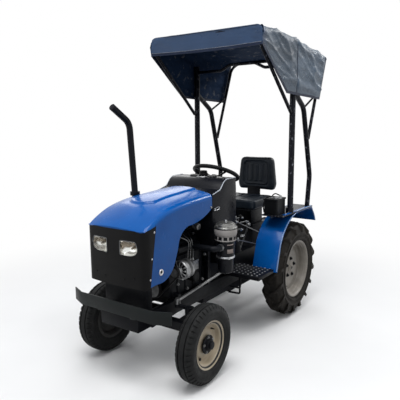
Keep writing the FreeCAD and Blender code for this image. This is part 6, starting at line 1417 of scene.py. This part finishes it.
def control_details():
    """Small rods and fittings between the console and the seat."""
    rods = [
        [(0.150, -0.050, 0.905), (0.150, 0.060, 0.860), (0.185, 0.170, 0.800), (0.258, 0.262, 0.742)],
        [(0.205, -0.050, 0.742), (0.215, 0.120, 0.690), (0.258, 0.262, 0.640)],
        [(0.085, 0.120, 0.585), (0.092, 0.110, 0.720), (0.130, 0.060, 0.845)],
        [(0.060, 0.210, 0.585), (0.070, 0.215, 0.760), (0.140, 0.180, 0.870)],
    ]
    bars(DULL_STEEL, "control_rods", rods, 0.0042)
    body = [block("valve_body", (0.060, 0.085, 0.578), (0.135, 0.195, 0.668), 0.006),
            block("valve_cap", (0.070, 0.100, 0.666), (0.125, 0.150, 0.700), 0.005)]
    place(join("valve_block", body), CAST)
    tips = ((0.082, 0.112, 0.700), (0.110, 0.112, 0.700), (0.096, 0.170, 0.668), (0.120, 0.182, 0.668))
    fittings(STEEL, "valve_fittings", [(0, 26), (5, 26), (6.5, 22), (6.5, 14), (10, 12), (10, 0), (0, 0)],
             tips, Z, 24)
    fittings(PLASTIC, "control_knobs", [(0, 12), (9, 8), (13, 0), (11, -10), (5, -16), (0, -16)],
             [run[-1] for run in rods[2:]], Z, 32)


def engine_fittings():
    """Fuel lines from the pump to the head, small bright unions round the engine bay, and a canister on its
    arm.
    """
    low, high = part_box("injection_pump")
    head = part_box("cylinder_head")[1]
    mid = (low.x + high.x) / 2
    lines = []
    for k in range(3):
        y = low.y + (high.y - low.y) * (k + 1) / 4
        run = [(mid, y, high.z - 0.002), (mid + 0.004, y, high.z + 0.050),
               (high.x - 0.010, y - 0.015 * k, 0.815), (head.x - 0.002, y - 0.05 + 0.03 * k, 0.852)]
        lines.append(tube("line", run, 0.0032, 0.03, 10))
    place(join("fuel_lines", lines), DULL_STEEL)
    unions = ((0.152, -0.600, 0.700), (0.152, -0.350, 0.690), (0.093, -0.620, 0.830), (0.093, -0.400, 0.840),
              (0.152, -0.660, 0.560), (0.152, -0.560, 0.505), (0.152, -0.380, 0.520))
    fittings(DULL_STEEL, "engine_unions", [(0, 18), (5, 18), (6, 12), (9.5, 11), (9.5, 0), (0, 0)],
             unions, X, 18)
    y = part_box("dash_console")[1].y - 0.405
    turned(DULL_STEEL, "bay_canister", [(0, 0), (20, 0), (22.5, 3), (22.5, 36), (19, 41), (10, 43), (0, 43)],
           (0.150, y, 0.905), X, 40)
    arm = [(0.092, y, 0.870), (0.120, y, 0.885), (0.151, y, 0.905)]
    place(tube("bay_canister_arm", arm, 0.006, 0.02, 12), BLACK)


def middle_fittings():
    """Bright levers, springs and unions between the console and the fenders."""
    made = []
    for x, y, z in ((0.15, 0.06, 0.845), (0.19, 0.15, 0.835), (0.215, 0.02, 0.8), (0.12, 0.2, 0.85)):
        pin = [(x - 0.030, y, z - 0.010), (x, y + 0.012, z), (x + 0.034, y + 0.006, z + 0.004)]
        made.append(tube("pin", pin, 0.0050, 0.01, 12))
        spot = (x + 0.012, y + 0.010, z + 0.001)
        made.append(lathe("collar", [(0, 10), (10, 10), (10, 0), (0, 0)], spot, X, 20))
    place(join("middle_pins", made), STEEL)
    coil = [(0.228 + 0.0085 * c, 0.040 + 0.110 * k / 108, 0.748 + 0.0085 * s)
            for k, (c, s) in enumerate(around(12) * 9 + around(12)[:1])]
    place(tube("return_spring", coil, 0.0018, 0.0, 6), STEEL)


def hanging_step():
    """Bent bar that hangs below the left footplate's front, with its foot turned inwards."""
    low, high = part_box("footplate_left")
    x, y = low.x + 0.160, low.y + 0.024
    foot_z = low.z - 0.040
    run = [(x, y, high.z - 0.006), (x, y, foot_z), (x - 0.090, y - 0.010, foot_z)]
    place(tube("hanging_bar", run, 0.0072, 0.012, 16), BLACK)


def battery_details():
    """Terminals, hold-down strap and cables on the battery box."""
    low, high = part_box("battery_box")
    mid = (low.y + high.y) / 2
    place(block("battery_strap", (low.x + 0.004, mid - 0.014, high.z - 0.0005),
                (high.x - 0.004, mid + 0.014, high.z + 0.003), 0.001), STEEL)
    posts = [(high.x - 0.035, y, high.z - 0.0005) for y in (low.y + 0.035, high.y - 0.035)]
    fittings(on_slot("bare_steel", ALUMINIUM), "battery_terminals", [(0, 16), (8, 16), (9.5, 12), (10, 0),
                                                                     (0, 0)],
             posts, Z, 24)
    back, outer, top = low.x - 0.004, high.x - 0.035, high.z
    first = [(outer, low.y + 0.035, top + 0.012), (high.x - 0.060, low.y + 0.012, top + 0.022),
             (low.x + 0.020, low.y + 0.004, top + 0.006), (back, low.y + 0.014, top - 0.060),
             (back, low.y + 0.030, low.z + 0.012)]
    second = [(outer, high.y - 0.035, top + 0.012), (high.x - 0.090, high.y - 0.012, top + 0.024),
              (low.x + 0.010, high.y - 0.010, top + 0.008), (back, high.y - 0.022, top - 0.050),
              (back, high.y - 0.034, low.z + 0.012)]
    bars(PLASTIC, "battery_cables", (first, second), 0.0046)


def footplate_dots():
    for hand, side in SIDES.items():
        low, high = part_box("footplate_" + hand)
        softened("footplate_" + hand, BLACK)
        inner, outer = sorted((abs(low.x), abs(high.x)))
        points = []
        faces = []
        for row in range(6):
            for column in range(8):
                x = inner + 0.035 + (outer - inner - 0.070) * column / 7
                y = low.y + 0.030 + 0.210 * row / 5 + (0.010 if column % 2 else 0.0)
                start = len(points)
                for radius, z in ((0.0072, high.z - 0.0005), (0.0050, high.z + 0.0026)):
                    points += [(side * (x + radius * c), y + radius * s, z) for c, s in around(8)]
                faces += skin(2, 8, loop=True, start=start)
                faces += [tuple(range(start + 8, start + 16)), tuple(range(start + 7, start - 1, -1))]
        place(mesh_piece("footplate_dots_" + hand, points, faces, 20.0), WORN_DOT)


def seat_pan_piece():
    """The pan and pedestal; the strap stops under the backrest, which hides the rest."""
    pan = softened("seat_pan", BLACK, 2.0)
    with edited(pan.data) as made:
        geom = list(made.verts) + list(made.edges) + list(made.faces)
        cut = bmesh.ops.bisect_plane(made, geom=geom, plane_co=(0, 0, 1.045), plane_no=Z, clear_outer=True)
        edges = [e for e in cut["geom_cut"] if isinstance(e, bmesh.types.BMEdge)]
        bmesh.ops.holes_fill(made, edges=edges)
    shade(pan)


# ================================================================ CAD solids whose shape is right
# Node, finish and the width of its rounded edges in millimetres.
SOLIDS = [
    ("frame_rails", BLACK, 2.0), ("front_axle", BLACK, 3.0), ("front_bumper", BUMPER, 2.0),
    ("radiator", on_slot("radiator_black", BLACK), 2.0), ("engine_block", CAST, 3.0),
    ("cylinder_head", CAST, 2.5),
    ("intake_pipe", CAST, 1.2), ("injection_pump", ALUMINIUM, 2.0), ("oil_filter", PLASTIC, 1.5),
    ("starter_motor", CAST, 2.0), ("cooling_fan", PLASTIC, 0.6),
    ("transmission_case", on_slot("chassis_black", CAST), 4.0), ("pto_shaft", DULL_STEEL, 1.5),
    ("hitch_frame", BLACK, 2.0), ("fender_left", BLUE, 1.0), ("fender_right", BLUE, 1.0),
    ("dash_console", GLOSS_BLACK, 2.5), ("steering_column", BLACK, 1.5),
    ("control_levers", on_slot("lever_steel", DULL_STEEL), 1.0), ("foot_pedals", BLACK, 1.5),
    ("battery_box", PLASTIC, 3.0), ("side_frame_left", POST, 1.5), ("side_frame_right", POST, 1.5),
    ("top_crossbar", POST, 1.0), ("front_bow", POST, 1.0), ("rear_bow", POST, 1.0),
    ("knuckle_left", BLACK, 2.0),
    ("knuckle_right", BLACK, 2.0), ("tie_rod", DULL_STEEL, 1.0), ("pitman_arm", BLACK, 2.0),
    ("drag_link", DULL_STEEL, 1.0), ("lower_links", BLACK, 2.5), ("lift_arms", BLACK, 2.5),
    ("lift_rods", DULL_STEEL, 1.5),
]

hood_piece()
mask_piece()
for hand_name in SIDES:
    front_wheel(hand_name)
    rear_wheel(hand_name)
    headlamp(hand_name)
canopy()
seat_cushion()
seat_backrest()
steering_wheel_piece()
air_cleaner_details()
alternator_details()
belts()
softened("exhaust_stack", PIPE_BLACK, 1.2, 30.0)
mask_screws()
latches()
footplate_dots()
fender_edges()
control_details()
battery_details()
engine_fittings()
middle_fittings()
hanging_step()
console_tops()
seat_pan_piece()
for solid in SOLIDS:
    softened(*solid)


# ================================================================ stage, light and camera
def seen_rays(tree):
    """1 for the rays that show a background: those of the camera, and those off metal or through glass."""
    path = add(tree, "LightPath", {})
    total = path["Is Camera Ray"]
    for name in ("Is Glossy Ray", "Is Transmission Ray"):
        total = add(tree, "Math", {0: total, 1: path[name]}, operation="MAXIMUM")[0]
    return total


def stage_floor():
    size = 14.0
    corners = [(-size, -size, 0), (size, -size, 0), (size, size, 0), (-size, size, 0)]
    data = bpy.data.meshes.new("floor")
    data.from_pydata(corners, [], [(0, 1, 2, 3)])
    mat, tree, bsdf = shader("floor_pale")
    seen = seen_rays(tree)
    bounce = cloud(tree, (2.0,), (0.3, 0.26), (0.7, 0.28))
    feed(tree, bsdf, {"Base Color": mixed(tree, seen, bounce, cloud(tree, (2.0,), (0.3, 0.80), (0.7, 0.82))),
                      "Roughness": 0.8})
    white = add(tree, "Emission", {"Strength": 1.0})[0]
    away = add(tree, "VectorMath", {0: add(tree, "TexCoord", {})["Object"]}, operation="LENGTH")["Value"]
    reach = add(tree, "MapRange", {"Value": away, "From Min": 1.3, "From Max": 3.6},
                interpolation_type="SMOOTHSTEP")[0]
    share = add(tree, "Math", {0: reach, 1: seen}, operation="MULTIPLY")[0]
    mix = add(tree, "MixShader", {0: share, 1: bsdf.outputs[0], 2: white})[0]
    feed(tree, tree.nodes["Material Output"], {"Surface": mix})
    data.materials.append(mat)
    link_object("floor", data)


def world_light():
    world = bpy.data.worlds.new("studio")
    bpy.context.scene.world = world
    world.use_nodes = True
    tree = world.node_tree
    tree.nodes.clear()
    height = in_object(tree, "Generated")["Z"]
    level = add(tree, "MapRange", {"Value": height, "From Min": 0.05, "From Max": 0.85, "To Min": 0.10,
                                   "To Max": 0.60})[0]
    soft = add(tree, "Background", {"Color": (0.93, 0.96, 1.0, 1), "Strength": level})[0]
    white = add(tree, "Background", {"Color": (1, 1, 1, 1), "Strength": 1.0})[0]
    add(tree, "OutputWorld", {"Surface": add(tree, "MixShader", {0: seen_rays(tree), 1: soft, 2: white})[0]})


def soft_lamp(name, spot, aim, size, power):
    data = bpy.data.lights.new(name, "AREA")
    data.shape = "RECTANGLE"
    data.size, data.size_y = size
    data.energy = power
    obj = link_object(name, data)
    obj.location = spot
    obj.rotation_euler = (Vector(aim) - Vector(spot)).to_track_quat("-Z", "Y").to_euler()


def camera():
    data = bpy.data.cameras.new("camera")
    data.sensor_width = 36.0
    data.lens = 42.9
    data.shift_x = 0.0048
    data.shift_y = 0.0110
    obj = link_object("camera", data)
    look = Matrix.Rotation(math.radians(34.70), 4, "Z") @ Matrix.Rotation(math.radians(90 - 9.53), 4, "X")
    roll = Matrix.Rotation(-0.0077, 4, "Z")
    obj.matrix_world = Matrix.Translation((1.949, -3.009, 1.577)) @ look @ roll
    bpy.context.scene.camera = obj


stage_floor()
world_light()
soft_lamp("key", (0.7, -1.8, 5.0), (0, -0.1, 0.9), (3.0, 2.4), 185.0)
soft_lamp("fill", (3.8, -1.2, 2.6), (0, 0, 0.8), (2.5, 2.5), 16.0)
soft_lamp("back", (-2.6, 3.0, 3.2), (0, 0, 1.0), (3.0, 2.2), 42.0)
soft_lamp("front", (-2.0, -3.6, 2.2), (0, -0.6, 0.7), (2.4, 2.0), 16.0)
soft_lamp("rake", (2.5, 5.0, 4.4), (0.3, 0.4, 1.6), (1.6, 1.2), 120.0)
camera()
bpy.context.scene.view_settings.view_transform = "Standard"
